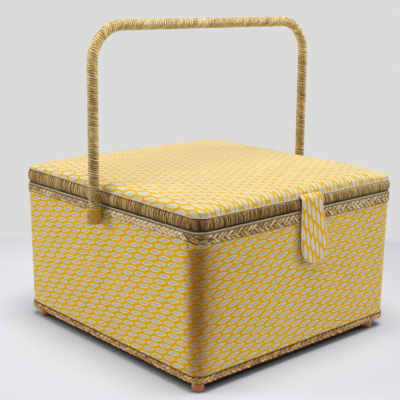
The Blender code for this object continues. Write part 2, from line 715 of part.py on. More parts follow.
def crown_insets(reach):
    """Ring distances from the edge, close together on the roll and wider over the crown."""
    span = min(HALF_WIDTH, HALF_DEPTH) + reach
    return [span * (1 - cos(step / CROWN_RINGS * pi / 2)) for step in range(CROWN_RINGS)]


def crown_rings(reach, bottom):
    """Rings of the crowned surface from its edge to near the middle, and the middle point."""
    rings = []
    for inset in crown_insets(reach):
        half_x = HALF_WIDTH + reach - inset
        half_y = HALF_DEPTH + reach - inset
        widest = CROWN_CORNER_SHARE * min(half_x, half_y)
        radius = min(CORNER_RADIUS + reach + CROWN_CORNER_GROWTH * inset, widest)
        outline = rounded_outline(half_x, half_y, radius, SIDE_STEPS)
        rings.append([Vector((p.x, p.y, bottom + crown_rise(p.x, p.y, inset, reach))) for p in outline])
    middle = Vector((0, 0, bottom + ROLL_HEIGHT + CROWN_HEIGHT))
    return rings, middle


def crowned_solid(reach, edge_bottom, crown_bottom, lower=None):
    """A solid under a crowned surface: flat below, or hollow where a lower surface is given."""
    bm = bmesh.new()
    upper_rings, upper_middle = crown_rings(reach, crown_bottom)
    edge = at_height(box_outline(reach, side_steps=SIDE_STEPS), edge_bottom)
    if lower:
        lower_reach, lower_bottom = lower
        lower_rings, lower_middle = crown_rings(lower_reach, lower_bottom)
        lower_edge = at_height(box_outline(lower_reach, side_steps=SIDE_STEPS), edge_bottom)
        rings = lower_rings[::-1] + [lower_edge, edge] + upper_rings
    else:
        lower_middle = None
        rings = [edge] + upper_rings
    loops = [[bm.verts.new(point) for point in ring] for ring in rings]
    count = len(loops[0])
    for below, above in zip(loops, loops[1:]):
        for here in range(count):
            after = (here + 1) % count
            bm.faces.new((below[here], below[after], above[after], above[here]))
    peak = bm.verts.new(upper_middle)
    for here in range(count):
        bm.faces.new((loops[-1][here], loops[-1][(here + 1) % count], peak))
    if lower_middle is None:
        bm.faces.new(loops[0][::-1])
    else:
        hollow = bm.verts.new(lower_middle)
        for here in range(count):
            bm.faces.new((loops[0][(here + 1) % count], loops[0][here], hollow))
    return bm


def make_lid_top(lid, finishes):
    """The board on the frame, its padding, the patterned cloth over both and the cord round it."""
    board = plate([(box_outline(LID_BOARD_REACH), LID_BOARD_BOTTOM),
                   (box_outline(LID_BOARD_REACH), LID_BOARD_TOP)])
    piece("lid_board", board, finishes["board"], lid)
    padding_bottom = LID_BOARD_TOP + TOUCH_GAP
    padding_crown = padding_bottom + PADDING_BASE_THICKNESS
    padding = crowned_solid(LID_BOARD_REACH, padding_bottom, padding_crown)
    piece("lid_padding", padding, finishes["wadding"], lid)
    under_cloth = padding_crown + TOUCH_GAP
    cloth = crowned_solid(LID_CLOTH_REACH, LID_CLOTH_BOTTOM, under_cloth + LID_CLOTH_THICKNESS,
                          lower=(LID_CLOTH_INNER, under_cloth))
    piece("lid_cover", cloth, finishes["leaf cloth"], lid)
    cord = band(round_section(LID_CORD_REACH, LID_CORD_HEIGHT, LID_CORD_RADIUS))
    piece("lid_cord", cord, finishes["cord"], lid)


def make_lid_lining(lid, finishes):
    """A shallow cloth pan under the lid that hides the board and the back of the frame."""
    inner = LID_LINING_REACH - LID_LINING_THICKNESS
    rings = [(LID_LINING_REACH, LID_LINING_TOP), (LID_LINING_REACH, BAND_BOTTOM),
             (inner, BAND_BOTTOM), (inner, LID_LINING_FACE)]
    pan = stacked(bmesh.new(), [at_height(box_outline(reach), height) for reach, height in rings])
    piece("lid_lining", pan, finishes["lining"], lid)


def sewn_grid(centre, length, width, shape):
    """Rows of points over a rectangle; shape gives each point's drop and how far it is drawn in."""
    rows = []
    for row in range(CUSHION_STEPS + 1):
        across = 2 * row / CUSHION_STEPS - 1
        line = []
        for column in range(CUSHION_STEPS + 1):
            along = 2 * column / CUSHION_STEPS - 1
            drop, pull_x, pull_y = shape(along, across)
            line.append(Vector((centre[0] + along * length / 2 * pull_x,
                                centre[1] + across * width / 2 * pull_y, centre[2] - drop)))
        rows.append(line)
    return rows


def closed_grid(lower_rows, upper_rows):
    """A closed solid between two matching grids of points."""
    bm = bmesh.new()
    lower = [[bm.verts.new(point) for point in line] for line in lower_rows]
    upper = [[bm.verts.new(point) for point in line] for line in upper_rows]
    last_row, last_column = len(lower) - 1, len(lower[0]) - 1
    for row in range(last_row):
        for column in range(last_column):
            for grid in (lower, upper):
                bm.faces.new((grid[row][column], grid[row][column + 1],
                              grid[row + 1][column + 1], grid[row + 1][column]))
    edge = [(0, column) for column in range(last_column)]
    edge += [(row, last_column) for row in range(last_row)]
    edge += [(last_row, column) for column in range(last_column, 0, -1)]
    edge += [(row, 0) for row in range(last_row, 0, -1)]
    for here, after in zip(edge, edge[1:] + edge[:1]):
        bm.faces.new((lower[here[0]][here[1]], lower[after[0]][after[1]],
                      upper[after[0]][after[1]], upper[here[0]][here[1]]))
    return bm


def make_lid_pocket(lid, finishes):
    """A gathered pocket sewn under the lid on three sides, its elastic mouth towards the front."""
    face = LID_LINING_FACE - TOUCH_GAP
    centre_x = -(HALF_WIDTH + LID_LINING_REACH - LID_FITTING_SETBACK) + LID_POCKET_WIDTH / 2

    def puff(along, across):
        """Deep at the mouth, flat along the three sewn sides."""
        return LID_POCKET_PUFF * (1 - along ** 4) * (1 - ((across + 1) / 2) ** 3), 1, 1

    under = sewn_grid((centre_x, 0, face - LID_POCKET_THICKNESS), LID_POCKET_WIDTH, LID_POCKET_DEPTH, puff)
    over = [[point + Vector((0, 0, LID_POCKET_THICKNESS)) for point in line] for line in under]
    piece("lid_pocket", closed_grid(under, over), finishes["lining"], lid)


def make_pincushion(lid, finishes):
    """A small stuffed pad sewn under the lid, its sides drawn in between its corners."""
    face = LID_LINING_FACE - TOUCH_GAP
    centre_x = HALF_WIDTH + LID_LINING_REACH - LID_FITTING_SETBACK - PINCUSHION_WIDTH / 2
    drawn_in_share = 0.06

    def crown(along, across):
        """Full in the middle, thin along the seam."""
        swell = (1 - along ** 4) * (1 - across ** 4)
        drop = PINCUSHION_EDGE_THICKNESS + (PINCUSHION_THICKNESS - PINCUSHION_EDGE_THICKNESS) * swell
        return drop, 1 - drawn_in_share * (1 - across ** 2), 1 - drawn_in_share * (1 - along ** 2)

    under = sewn_grid((centre_x, 0, face), PINCUSHION_WIDTH, PINCUSHION_LENGTH, crown)
    over = [[Vector((point.x, point.y, face)) for point in line] for line in under]
    piece("pincushion", closed_grid(under, over), finishes["velvet"], lid)


# The closing tab

def tab_half_width(drop):
    """Half the tab's width at a drop below the band's top: it swells, then closes in a round tip."""
    widest = TAB_WIDTH / 2
    if drop < TAB_WIDEST_DROP:
        share = max(0, drop / TAB_WIDEST_DROP)
        return TAB_TOP_WIDTH / 2 + (widest - TAB_TOP_WIDTH / 2) * share * share * (3 - 2 * share)
    tip = (drop - TAB_WIDEST_DROP) / (TAB_DROP - TAB_WIDEST_DROP)
    return widest * max(0, 1 - tip ** TAB_TIP_POWER) ** (1 / TAB_TIP_POWER)


def tab_centre_x(drop):
    """The tab hangs a little askew: its middle drifts to the right as it goes down."""
    return TAB_CENTRE_X + TAB_LEAN * drop / TAB_DROP


def offset_path(points, distance):
    """A 2-D polyline moved sideways, mitred at its corners."""
    moved = []
    for index, point in enumerate(points):
        before = points[max(index - 1, 0)]
        after = points[min(index + 1, len(points) - 1)]
        into = (point - before if index else after - point).normalized()
        out = (after - point if index < len(points) - 1 else point - before).normalized()
        bisector = (into + out).normalized()
        normal = Vector((-bisector.y, bisector.x))
        moved.append(point + normal * distance / bisector.dot(out))
    return moved


def tab_strip(path):
    """A strip of the tab along (reach, height) points on its middle line, as wide as the tab there."""
    near = offset_path(path, TAB_THICKNESS / 2)
    far = offset_path(path, -TAB_THICKNESS / 2)
    rings = []
    for inner, middle, outer in zip(near, path, far):
        drop = BAND_TOP - middle.y
        centre, half = tab_centre_x(drop), tab_half_width(drop)
        rings.append([Vector((centre - half, FRONT - inner.x, inner.y)),
                      Vector((centre + half, FRONT - inner.x, inner.y)),
                      Vector((centre + half, FRONT - outer.x, outer.y)),
                      Vector((centre - half, FRONT - outer.x, outer.y))])
    return stacked(bmesh.new(), rings)


def tab_back_reach(height):
    """How far the hanging flap's back stands out: near the band at its top, further at its tip."""
    below = (TAB_FOLD_HEIGHT - height) / (TAB_DROP - BAND_HEIGHT)
    return TAB_REACH + TAB_STAND_OFF * max(0, below)


def make_tab(lid, tab, finishes):
    """The tab's root over the lid's band, its hanging flap, and the magnet on the flap's back."""
    middle = TAB_THICKNESS / 2
    over_cord = LID_CORD_REACH + LID_CORD_RADIUS + TOUCH_GAP
    root = [Vector((over_cord + middle - TOUCH_GAP, LID_CLOTH_BOTTOM + TAB_THICKNESS / 3)),
            Vector((over_cord + middle, LID_CLOTH_BOTTOM - TOUCH_GAP)),
            Vector((TAB_REACH + middle, BAND_TOP - BAND_BULGE / 2)),
            Vector((TAB_REACH + middle, TAB_FOLD_HEIGHT + TOUCH_GAP / 2))]
    piece("tab_root", tab_strip(root), finishes["leaf cloth"], lid)
    start = TAB_FOLD_HEIGHT - TOUCH_GAP / 2
    widest = BAND_TOP - TAB_WIDEST_DROP
    tip = BAND_TOP - TAB_DROP + TOUCH_GAP
    heights = [start + (widest - start) * step / SIDE_STEPS for step in range(SIDE_STEPS + 1)]
    for step in range(1, TAB_TIP_STEPS + 1):
        heights.append(widest + (tip - widest) * sin(step / TAB_TIP_STEPS * pi / 2))
    flap = [Vector((tab_back_reach(height) + middle, height)) for height in heights]
    piece("closing_tab", tab_strip(flap), finishes["leaf cloth"], tab)
    height = magnet_height()
    slack = tab_back_reach(height + MAGNET_RADIUS) - TOUCH_GAP - MAGNET_THICKNESS
    centre = (tab_centre_x(MAGNET_DROP), FRONT - slack, height)
    piece("tab_magnet", rod(centre, MAGNET_RADIUS, 0, MAGNET_THICKNESS, axis='-Y'), finishes["steel"], tab)


def magnet_height():
    return BAND_TOP - MAGNET_DROP


def make_catch_plate(body, finishes, panel):
    """A steel disc let into the front panel behind the cloth, where the tab's magnet lands."""
    face = BOARD_OUTER - wall_inset(magnet_height() - CATCH_PLATE_RADIUS)
    inner = face - CATCH_PLATE_THICKNESS
    centre = (tab_centre_x(MAGNET_DROP), FRONT - inner, magnet_height())
    piece("catch_plate", rod(centre, CATCH_PLATE_RADIUS, 0, CATCH_PLATE_THICKNESS, axis='-Y'),
          finishes["steel"], body)
    recess = rod(centre, CATCH_PLATE_RADIUS + TOUCH_GAP, -TOUCH_GAP, CATCH_PLATE_THICKNESS + CUT_OVERRUN,
                 axis='-Y')
    cut(panel, as_cutter(piece("catch_recess", recess, finishes["board"], body)))


# Hinges, stays, tray and ledges

def knuckle_section(direction):
    """A rolled knuckle and the start of its leaf, as (reach, height) points round the outside."""
    near = HINGE_LEAF_REACH
    end = HINGE_AXIS_HEIGHT + direction * (HINGE_BARREL_RADIUS + 2 * TOUCH_GAP)
    meeting = acos((HINGE_LEAF_THICKNESS - HINGE_BARREL_RADIUS) / HINGE_BARREL_RADIUS)
    points = [(near, end)]
    for step in range(SMALL_SIDES + 1):
        angle = pi - (2 * pi - (pi - meeting)) * step / SMALL_SIDES
        height = HINGE_AXIS_HEIGHT - direction * HINGE_BARREL_RADIUS * sin(angle)
        points.append((HINGE_AXIS_REACH + HINGE_BARREL_RADIUS * cos(angle), height))
    points.append((near + HINGE_LEAF_THICKNESS, end))
    return points


def make_hinge_leaf(owner, finishes, name, centre_x, direction, leaf_height, knuckles):
    """One leaf of a three-knuckle butt hinge: a plate with rolled knuckles, bored for the pin."""
    near = BACK + HINGE_LEAF_REACH
    leaf_start = HINGE_AXIS_HEIGHT + direction * (HINGE_BARREL_RADIUS + TOUCH_GAP)
    leaf_end = leaf_start + direction * leaf_height
    left, right = centre_x - HINGE_WIDTH / 2, centre_x + HINGE_WIDTH / 2
    plate_mesh = block((left, near, min(leaf_start, leaf_end)),
                       (right, near + HINGE_LEAF_THICKNESS, max(leaf_start, leaf_end)))
    leaf = piece(name, plate_mesh, finishes["brass"], owner)
    pitch = HINGE_WIDTH / 3
    for index in knuckles:
        low = left + index * pitch + (HINGE_KNUCKLE_GAP / 2 if index else 0)
        high = left + (index + 1) * pitch - (HINGE_KNUCKLE_GAP / 2 if index < 2 else 0)
        ends = [[Vector((x, BACK + reach, height)) for reach, height in knuckle_section(direction)]
                for x in (low, high)]
        knuckle = stacked(bmesh.new(), ends)
        helper = as_cutter(piece(f"{name}_knuckle_{index}", knuckle, finishes["brass"], owner))
        union = leaf.modifiers.new(f"knuckle_{index}", 'BOOLEAN')
        union.operation = 'UNION'
        union.object = helper
    axis = (0, BACK + HINGE_AXIS_REACH, HINGE_AXIS_HEIGHT)
    bore = rod(axis, HINGE_PIN_RADIUS + TOUCH_GAP, left - CUT_OVERRUN, right + CUT_OVERRUN, SMALL_SIDES, 'X')
    cut(leaf, as_cutter(piece(f"{name}_bore", bore, finishes["brass"], owner)))


def make_hinges(body, lid, finishes):
    """Two butt hinges on the back, each with its pin."""
    for side, sign in (("left", -1), ("right", 1)):
        centre_x = sign * HINGE_SPACING / 2
        make_hinge_leaf(body, finishes, f"hinge_body_leaf_{side}", centre_x, -1,
                        HINGE_BODY_LEAF_HEIGHT, (0, 2))
        make_hinge_leaf(lid, finishes, f"hinge_lid_leaf_{side}", centre_x, 1, HINGE_LID_LEAF_HEIGHT, (1,))
        pin = rod((0, BACK + HINGE_AXIS_REACH, HINGE_AXIS_HEIGHT), HINGE_PIN_RADIUS,
                  centre_x - HINGE_WIDTH / 2, centre_x + HINGE_WIDTH / 2, SMALL_SIDES, 'X')
        piece(f"hinge_pin_{side}", pin, finishes["brass"], body)


def stay_x(height, layer):
    """Distance from the middle to a ribbon's centre where it hangs along the lining."""
    against_lining = HALF_WIDTH + LINING_INNER - wall_inset(height) - TOUCH_GAP - STAY_THICKNESS / 2
    return against_lining - layer * (STAY_THICKNESS + TOUCH_GAP)


def make_stays(body, finishes):
    """Ribbons that stop the lid when it is open; with the lid shut each hangs in a loop."""
    start = BODY_RIM_HEIGHT - STAY_WALL_END_DROP
    loop = BODY_RIM_HEIGHT - STAY_LOOP_DROP
    turn = (STAY_THICKNESS + TOUCH_GAP) / 2
    lid_x = HALF_WIDTH + LID_LINING_REACH - LID_LINING_THICKNESS - TOUCH_GAP - STAY_THICKNESS / 2
    path = [Vector((stay_x(start, 0), start)), Vector((stay_x(loop, 0), loop))]
    middle_x = (stay_x(loop, 0) + stay_x(loop, 1)) / 2
    for step in range(1, CORNER_STEPS):
        angle = -pi * step / CORNER_STEPS
        path.append(Vector((middle_x + turn * cos(angle), loop + turn * sin(angle))))
    path += [Vector((stay_x(loop, 1), loop)), Vector((stay_x(start, 1), BODY_RIM_HEIGHT - STAY_BEND_DROP)),
             Vector((lid_x, BAND_BOTTOM + STAY_BEND_DROP)), Vector((lid_x, BAND_BOTTOM + STAY_LID_END_RISE))]
    outline = offset_path(path, STAY_THICKNESS / 2) + offset_path(path, -STAY_THICKNESS / 2)[::-1]
    back = BACK - STAY_BACK_SETBACK
    for side, sign in (("left", -1), ("right", 1)):
        ends = [[Vector((sign * point.x, y, point.y)) for point in outline]
                for y in (back - STAY_WIDTH, back)]
        piece(f"lid_stay_{side}", stacked(bmesh.new(), ends), finishes["ribbon"], body)


def make_ledges(body, finishes):
    """Two wooden ledges glued to the lining, which carry the tray."""
    low = LEDGE_TOP_HEIGHT - LEDGE_HEIGHT
    outer = HALF_WIDTH + LINING_INNER - wall_inset(low) - TOUCH_GAP
    for side, sign in (("left", -1), ("right", 1)):
        near, far = sorted((sign * outer, sign * (outer - LEDGE_WIDTH)))
        ledge = block((near, FRONT + LEDGE_FRONT_SETBACK, low),
                      (far, BACK - LEDGE_BACK_SETBACK, LEDGE_TOP_HEIGHT))
        soften(piece(f"tray_ledge_{side}", ledge, finishes["wood"], body), PANEL_EDGE_BEVEL)


def tray_half(height):
    """The tray's half sizes at a height: it tapers in towards its floor."""
    share = (tray_top() - height) / TRAY_HEIGHT
    side = LINING_INNER - TRAY_SIDE_CLEARANCE - TRAY_LIP_WIDTH - TRAY_DRAFT * share
    return HALF_WIDTH + side, HALF_DEPTH + side


def tray_bottom():
    return LEDGE_TOP_HEIGHT + TOUCH_GAP


def tray_top():
    return tray_bottom() + TRAY_HEIGHT


def tray_outline(height, extra=0):
    half_x, half_y = tray_half(height)
    return rounded_outline(half_x + extra, half_y + extra, TRAY_CORNER_RADIUS + extra)


def tray_pockets():
    """Each compartment's corners at the rim: one long one in front, a grid behind it."""
    half_x, half_y = tray_half(tray_top())
    left, right = -half_x + TRAY_WALL, half_x - TRAY_WALL
    front, back = -half_y + TRAY_WALL, half_y - TRAY_WALL
    pockets = [(left, right, front, front + TRAY_FRONT_ROW_DEPTH)]
    rest = front + TRAY_FRONT_ROW_DEPTH + TRAY_WALL
    width = (right - left - (TRAY_COLUMNS - 1) * TRAY_WALL) / TRAY_COLUMNS
    depth = (back - rest - (TRAY_ROWS - 1) * TRAY_WALL) / TRAY_ROWS
    for row in range(TRAY_ROWS):
        for column in range(TRAY_COLUMNS):
            x = left + column * (width + TRAY_WALL)
            y = rest + row * (depth + TRAY_WALL)
            pockets.append((x, x + width, y, y + depth))
    return pockets


def pocket_cutter(pocket):
    """A compartment's hollow: drafted sides and a floor whose edge is rounded up."""
    left, right, front, back = pocket
    floor = tray_bottom() + TRAY_FLOOR
    levels = [(floor, TRAY_DRAFT + POCKET_FLOOR_FILLET), (floor + POCKET_FLOOR_FILLET / 4, TRAY_DRAFT * 2),
              (floor + POCKET_FLOOR_FILLET, TRAY_DRAFT), (tray_top() + CUT_OVERRUN, 0)]
    rings = []
    for height, inset in levels:
        outline = rounded_outline((right - left) / 2 - inset, (back - front) / 2 - inset,
                                  POCKET_CORNER_RADIUS - inset)
        middle = Vector(((left + right) / 2, (front + back) / 2))
        rings.append(at_height([point + middle for point in outline], height))
    return stacked(bmesh.new(), rings)


def make_tray(tray, finishes):
    """A moulded tray: a tapered tub with a lip, drafted compartments and a thumb notch each side."""
    lip_bottom = tray_top() - TRAY_LIP_HEIGHT
    tub = plate([(tray_outline(tray_bottom()), tray_bottom()), (tray_outline(lip_bottom), lip_bottom),
                 (tray_outline(lip_bottom, TRAY_LIP_WIDTH), lip_bottom),
                 (tray_outline(tray_top(), TRAY_LIP_WIDTH), tray_top())])
    body = piece("tray", tub, finishes["tray"], tray)
    for index, pocket in enumerate(tray_pockets()):
        cut(body, as_cutter(piece(f"tray_pocket_{index}", pocket_cutter(pocket), finishes["tray"], tray)))
    half_x, _ = tray_half(tray_top())
    notches = bmesh.new()
    for sign in (-1, 1):
        inner = sign * (half_x - TRAY_WALL - CUT_OVERRUN)
        outer = sign * (half_x + TRAY_LIP_WIDTH + CUT_OVERRUN)
        rod((0, 0, tray_top() + THUMB_NOTCH_RADIUS / 4), THUMB_NOTCH_RADIUS, min(inner, outer),
            max(inner, outer), 2 * ROUND_SIDES, 'X', notches)
    cut(body, as_cutter(piece("thumb_notches", notches, finishes["tray"], tray)))


def make_finishes():
    """Every material, with its colour as the photograph shows it."""
    return {
        "leaf cloth": finish_of("leaf cloth", (0.62, 0.40, 0.05), 0.85),
        "lining": finish_of("lining cloth", (0.78, 0.72, 0.60), 0.90),
        "straw": finish_of("straw twist", (0.55, 0.40, 0.20), 0.75),
        "cord": finish_of("piping cord", (0.78, 0.70, 0.55), 0.85),
        "board": finish_of("grey board", (0.45, 0.38, 0.30), 0.90),
        "wood": finish_of("plain wood", (0.60, 0.45, 0.28), 0.65),
        "bead": finish_of("stained bead", (0.42, 0.16, 0.05), 0.40),
        "bamboo": finish_of("bamboo", (0.50, 0.31, 0.09), 0.45),
        "cane": finish_of("rattan cane", (0.60, 0.46, 0.25), 0.60),
        "wadding": finish_of("white wadding", (0.85, 0.84, 0.80), 0.95),
        "ribbon": finish_of("cotton ribbon", (0.80, 0.75, 0.62), 0.80),
        "velvet": finish_of("pincushion cloth", (0.62, 0.40, 0.05), 0.90),
        "tray": finish_of("moulded tray", (0.86, 0.84, 0.78), 0.45),
        "steel": finish_of("plated steel", (0.62, 0.62, 0.60), 0.35, 1.0),
        "brass": finish_of("brass", (0.66, 0.50, 0.22), 0.35, 1.0),
    }


def main():
    clear_scene()
    finishes = make_finishes()
    body = axis_empty("basket_origin", (0, 0, 0))
    lid = axis_empty("lid_axis", (0, BACK + HINGE_AXIS_REACH, HINGE_AXIS_HEIGHT), body)
    handle = axis_empty("handle_axis", (0, 0, PIVOT_HEIGHT), body)
    tab = axis_empty("tab_axis", (0, FRONT - TAB_FOLD_REACH, TAB_FOLD_HEIGHT), lid)
    tray = axis_empty("tray_axis", (0, 0, tray_bottom()), body)
    make_base(body, finishes, feet_places().values())
    make_feet(body, finishes)
    panels = make_walls(body, finishes)
    cloths = make_cloth_walls(body, finishes)
    top_plait = make_trims(body, finishes)
    drilled = [cloths["outer_cover"], cloths["wall_lining"], top_plait,
               panels["panel_left"], panels["panel_right"]]
    make_pivot_bolts(body, finishes, drilled)
    make_catch_plate(body, finishes, panels["panel_front"])
    make_handle(handle, finishes)
    make_lid_frame(lid, finishes)
    make_lid_top(lid, finishes)
    make_lid_lining(lid, finishes)
    make_lid_pocket(lid, finishes)
    make_pincushion(lid, finishes)
    make_tab(lid, tab, finishes)
    make_hinges(body, lid, finishes)
    make_stays(body, finishes)
    make_ledges(body, finishes)
    make_tray(tray, finishes)


main()
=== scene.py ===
"""A fabric-covered sewing basket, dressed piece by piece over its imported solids.

Metres, +Z up. The front, with the closing tab, faces -Y, and the floor is at zero.
"""

from math import atan2, ceil, cos, exp, pi, radians, sin, sqrt, tan

import bmesh
import bpy
import numpy as np
from mathutils import Matrix, Vector, noise


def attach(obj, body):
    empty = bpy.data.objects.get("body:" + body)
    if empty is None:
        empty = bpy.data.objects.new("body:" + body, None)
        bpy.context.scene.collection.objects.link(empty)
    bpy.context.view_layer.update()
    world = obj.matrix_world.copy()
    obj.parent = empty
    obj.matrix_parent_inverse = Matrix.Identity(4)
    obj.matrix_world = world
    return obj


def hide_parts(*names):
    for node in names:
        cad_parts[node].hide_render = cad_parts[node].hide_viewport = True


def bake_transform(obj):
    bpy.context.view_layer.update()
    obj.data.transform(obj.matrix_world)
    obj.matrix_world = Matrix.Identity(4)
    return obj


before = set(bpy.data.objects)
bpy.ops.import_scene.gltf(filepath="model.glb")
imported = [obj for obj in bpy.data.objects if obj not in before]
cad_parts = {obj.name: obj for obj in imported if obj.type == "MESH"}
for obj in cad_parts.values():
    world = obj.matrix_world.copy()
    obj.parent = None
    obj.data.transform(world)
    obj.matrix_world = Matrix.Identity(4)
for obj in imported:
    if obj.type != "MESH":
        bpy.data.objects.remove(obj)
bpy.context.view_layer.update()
MM = 0.001


# THE CAMERA. It looks at the near left corner from a little above the lid, with a long lens, as the
# photograph does: the left wall and the front, with its tab, both show.

CAMERA_PLACE = Vector((-0.6823, -0.7475, 0.3853))
CAMERA_YAW = radians(-41.967)
CAMERA_PITCH = radians(-13.287)
CAMERA_ROLL = radians(0.59)
CAMERA_LENS = 80.045

ahead = Vector((-sin(CAMERA_YAW) * cos(CAMERA_PITCH), cos(CAMERA_YAW) * cos(CAMERA_PITCH), sin(CAMERA_PITCH)))
level_side = ahead.cross(Vector((0, 0, 1))).normalized()
level_up = level_side.cross(ahead)
camera_side = cos(CAMERA_ROLL) * level_side + sin(CAMERA_ROLL) * level_up
camera_up = cos(CAMERA_ROLL) * level_up - sin(CAMERA_ROLL) * level_side
bpy.ops.object.select_all(action='DESELECT')
bpy.ops.object.camera_add(location=CAMERA_PLACE)
camera = bpy.context.object
turned = Matrix((camera_side, camera_up, -ahead)).transposed().to_4x4()
camera.matrix_world = Matrix.Translation(CAMERA_PLACE) @ turned
camera.data.lens = CAMERA_LENS
camera.data.sensor_width = 36
bpy.context.scene.camera = camera
bpy.context.scene.view_settings.view_transform = 'Standard'


# THE FLOOR AND THE LIGHT. A pale table in front of a paler wall, which is painted on the far table. The table
# has a painted shadow under the basket, and painted shade darkens it towards the right. Far off, table and
# wall glow with their colour for the camera and in reflections. One soft lamp is high above and one stands
# behind each side, so that the near corner of the basket is the least lit.

FLOOR_SIZE = 14.0
TOWARDS_WALL = (0.669, 0.743, 0)
ALONG_WALL = (0.743, -0.669, 0)
WALL_DISTANCE = 0.335
WALL_BLUR = 0.03
WALL_PAINT = (219, 220, 218)
TABLE_SPAN = 0.7
FLOOR_NEAR = 0.27
FLOOR_FAR = 0.46
UNDER_MIDDLE = (0.001, -0.001, 0)
UNDER_HALF = (0.1365, 0.1405, 0)
UNDER_EDGE = 0.009
AMBIENT = 0.22


def paint(red, green, blue):
    """A colour written as a screen shows it, from 0 to 255, as the light that the shaders work in."""
    light = []
    for part in (red, green, blue):
        share = part / 255
        light.append(share / 12.92 if share <= 0.04045 else ((share + 0.055) / 1.055) ** 2.4)
    return (*light, 1.0)


class Value:
    """One output in a node tree. Arithmetic on it adds the Math nodes that work it out."""

    def __init__(self, tree, socket):
        self.tree = tree
        self.socket = socket

    def math(self, operation, *terms):
        node = self.tree.nodes.new('ShaderNodeMath')
        node.operation = operation
        for slot, term in zip(node.inputs, terms):
            put(self.tree, slot, term)
        return Value(self.tree, node.outputs[0])

    def __add__(self, other):
        return self.math('ADD', self, other)

    def __radd__(self, other):
        return self.math('ADD', other, self)

    def __sub__(self, other):
        return self.math('SUBTRACT', self, other)

    def __rsub__(self, other):
        return self.math('SUBTRACT', other, self)

    def __mul__(self, other):
        return self.math('MULTIPLY', self, other)

    def __rmul__(self, other):
        return self.math('MULTIPLY', other, self)

    def __truediv__(self, other):
        return self.math('DIVIDE', self, other)

    def __pow__(self, other):
        return self.math('POWER', self, other)

    def __abs__(self):
        return self.math('ABSOLUTE', self)

    def floored(self):
        return self.math('FLOOR', self)

    def sine(self):
        return self.math('SINE', self)

    def clamped(self):
        return self.math('MAXIMUM', self.math('MINIMUM', self, 1), 0)


def put(tree, slot, value):
    """Link a value to a socket, or write a number or colour on it."""
    if isinstance(value, Value):
        tree.links.new(value.socket, slot)
    else:
        slot.default_value = value


def add_node(tree, kind, settings=None, sockets=None, output=0):
    """Any node but Math: its settings are made first, then its sockets are filled."""
    node = tree.nodes.new(kind)
    for name, setting in (settings or {}).items():
        if name == "stops":
            elements = node.color_ramp.elements
            for element, (place, colour) in zip((elements[0], elements[-1]), (setting[0], setting[-1])):
                element.position = place
                element.color = colour
            for place, colour in setting[1:-1]:
                elements.new(place).color = colour
        else:
            setattr(node, name, setting)
    for name, value in (sockets or {}).items():
        put(tree, node.inputs[name], value)
    return Value(tree, node.outputs[output])


class Finish:
    """What a piece is made of: a material built of nodes round one Principled shader."""

    def __init__(self, name):
        self.material = bpy.data.materials.new(name)
        self.material.use_nodes = True
        self.tree = self.material.node_tree
        self.shader = self.tree.nodes["Principled BSDF"]

    def node(self, kind, settings=None, sockets=None, output=0):
        return add_node(self.tree, kind, settings, sockets, output)

    def mixed(self, share, first, second, how='MIX'):
        settings = {"data_type": 'RGBA', "blend_type": how}
        return self.node('ShaderNodeMix', settings, {0: share, 6: first, 7: second}, 2)

    def vector(self, operation, *terms, output="Vector"):
        return self.node('ShaderNodeVectorMath', {"operation": operation}, dict(enumerate(terms)), output)

    def place(self, stretch=(1, 1, 1)):
        """Object coordinates, stretched."""
        return self.vector('MULTIPLY', self.node('ShaderNodeTexCoord', output="Object"), stretch)

    def noise(self, vector, scale, detail=2.0, rough=0.5):
        sockets = {"Vector": vector, "Scale": scale, "Detail": detail, "Roughness": rough}
        return self.node('ShaderNodeTexNoise', {}, sockets)

    def ramp(self, share, *stops):
        return self.node('ShaderNodeValToRGB', {"stops": stops}, {"Fac": share})

    def attribute(self, name):
        return self.node('ShaderNodeAttribute', {"attribute_name": name}, output="Fac")

    def flat_places(self, name):
        """The two numbers of a UV map, in metres."""
        split = self.node('ShaderNodeSeparateXYZ', {}, {0: self.node('ShaderNodeUVMap', {"uv_map": name})})
        return split, Value(self.tree, split.socket.node.outputs[1])

    def surface(self, colour, roughness, height=None, depth=0.0, fixed=None):
        """Fill the shader. Height is relief in shares of depth, and fixed holds the constant sockets."""
        put(self.tree, self.shader.inputs["Base Color"], colour)
        put(self.tree, self.shader.inputs["Roughness"], roughness)
        if height is not None:
            bump = self.node('ShaderNodeBump', {}, {"Height": height, "Distance": depth})
            put(self.tree, self.shader.inputs["Normal"], bump)
        for name, value in (fixed or {}).items():
            self.shader.inputs[name].default_value = value
        return self


def seen(tree):
    """Whether a point is looked at, straight or by a gloss or a clear piece, and not just lighting others."""
    return sum(add_node(tree, 'ShaderNodeLightPath', output=f"Is {kind} Ray")
               for kind in ("Camera", "Glossy", "Transmission")).clamped()


table_top = Finish("pale table")
spot = table_top.node('ShaderNodeTexCoord', output="Object")
radius = table_top.vector('LENGTH', spot, output="Value")
behind = table_top.vector('DOT_PRODUCT', spot, TOWARDS_WALL, output="Value")
wall = ((behind - WALL_DISTANCE) / WALL_BLUR).clamped()
far = 1 - (1 - wall) * (1 - ((radius - FLOOR_NEAR) / (FLOOR_FAR - FLOOR_NEAR)).clamped())
# Painted shadow: the table darkened to a dark brown under the basket, inside an oblong a little within its
# foot, fading out over its edge.
beyond = table_top.vector('ABSOLUTE', table_top.vector('SUBTRACT', spot, UNDER_MIDDLE))
beyond = table_top.vector('MAXIMUM', table_top.vector('SUBTRACT', beyond, UNDER_HALF), (0, 0, 0))
under = (1 - table_top.vector('LENGTH', beyond, output="Value") / UNDER_EDGE).clamped() ** 0.5
# Painted shade: the table, near and far, darker towards the right.
aside = (table_top.vector('DOT_PRODUCT', spot, ALONG_WALL, output="Value") / TABLE_SPAN + 0.5).clamped()
table_colour = table_top.mixed(aside, paint(212, 215, 223), paint(198, 200, 208))
table_colour = table_top.mixed(under, table_colour, paint(58, 48, 44))
table_top.surface(table_colour, 0.75, fixed={"Specular IOR Level": 0.15})
tree = table_top.tree
table_far = table_top.mixed(aside, paint(214, 215, 219), paint(206, 206, 210))
shade = table_top.mixed(wall, table_far, paint(*WALL_PAINT))
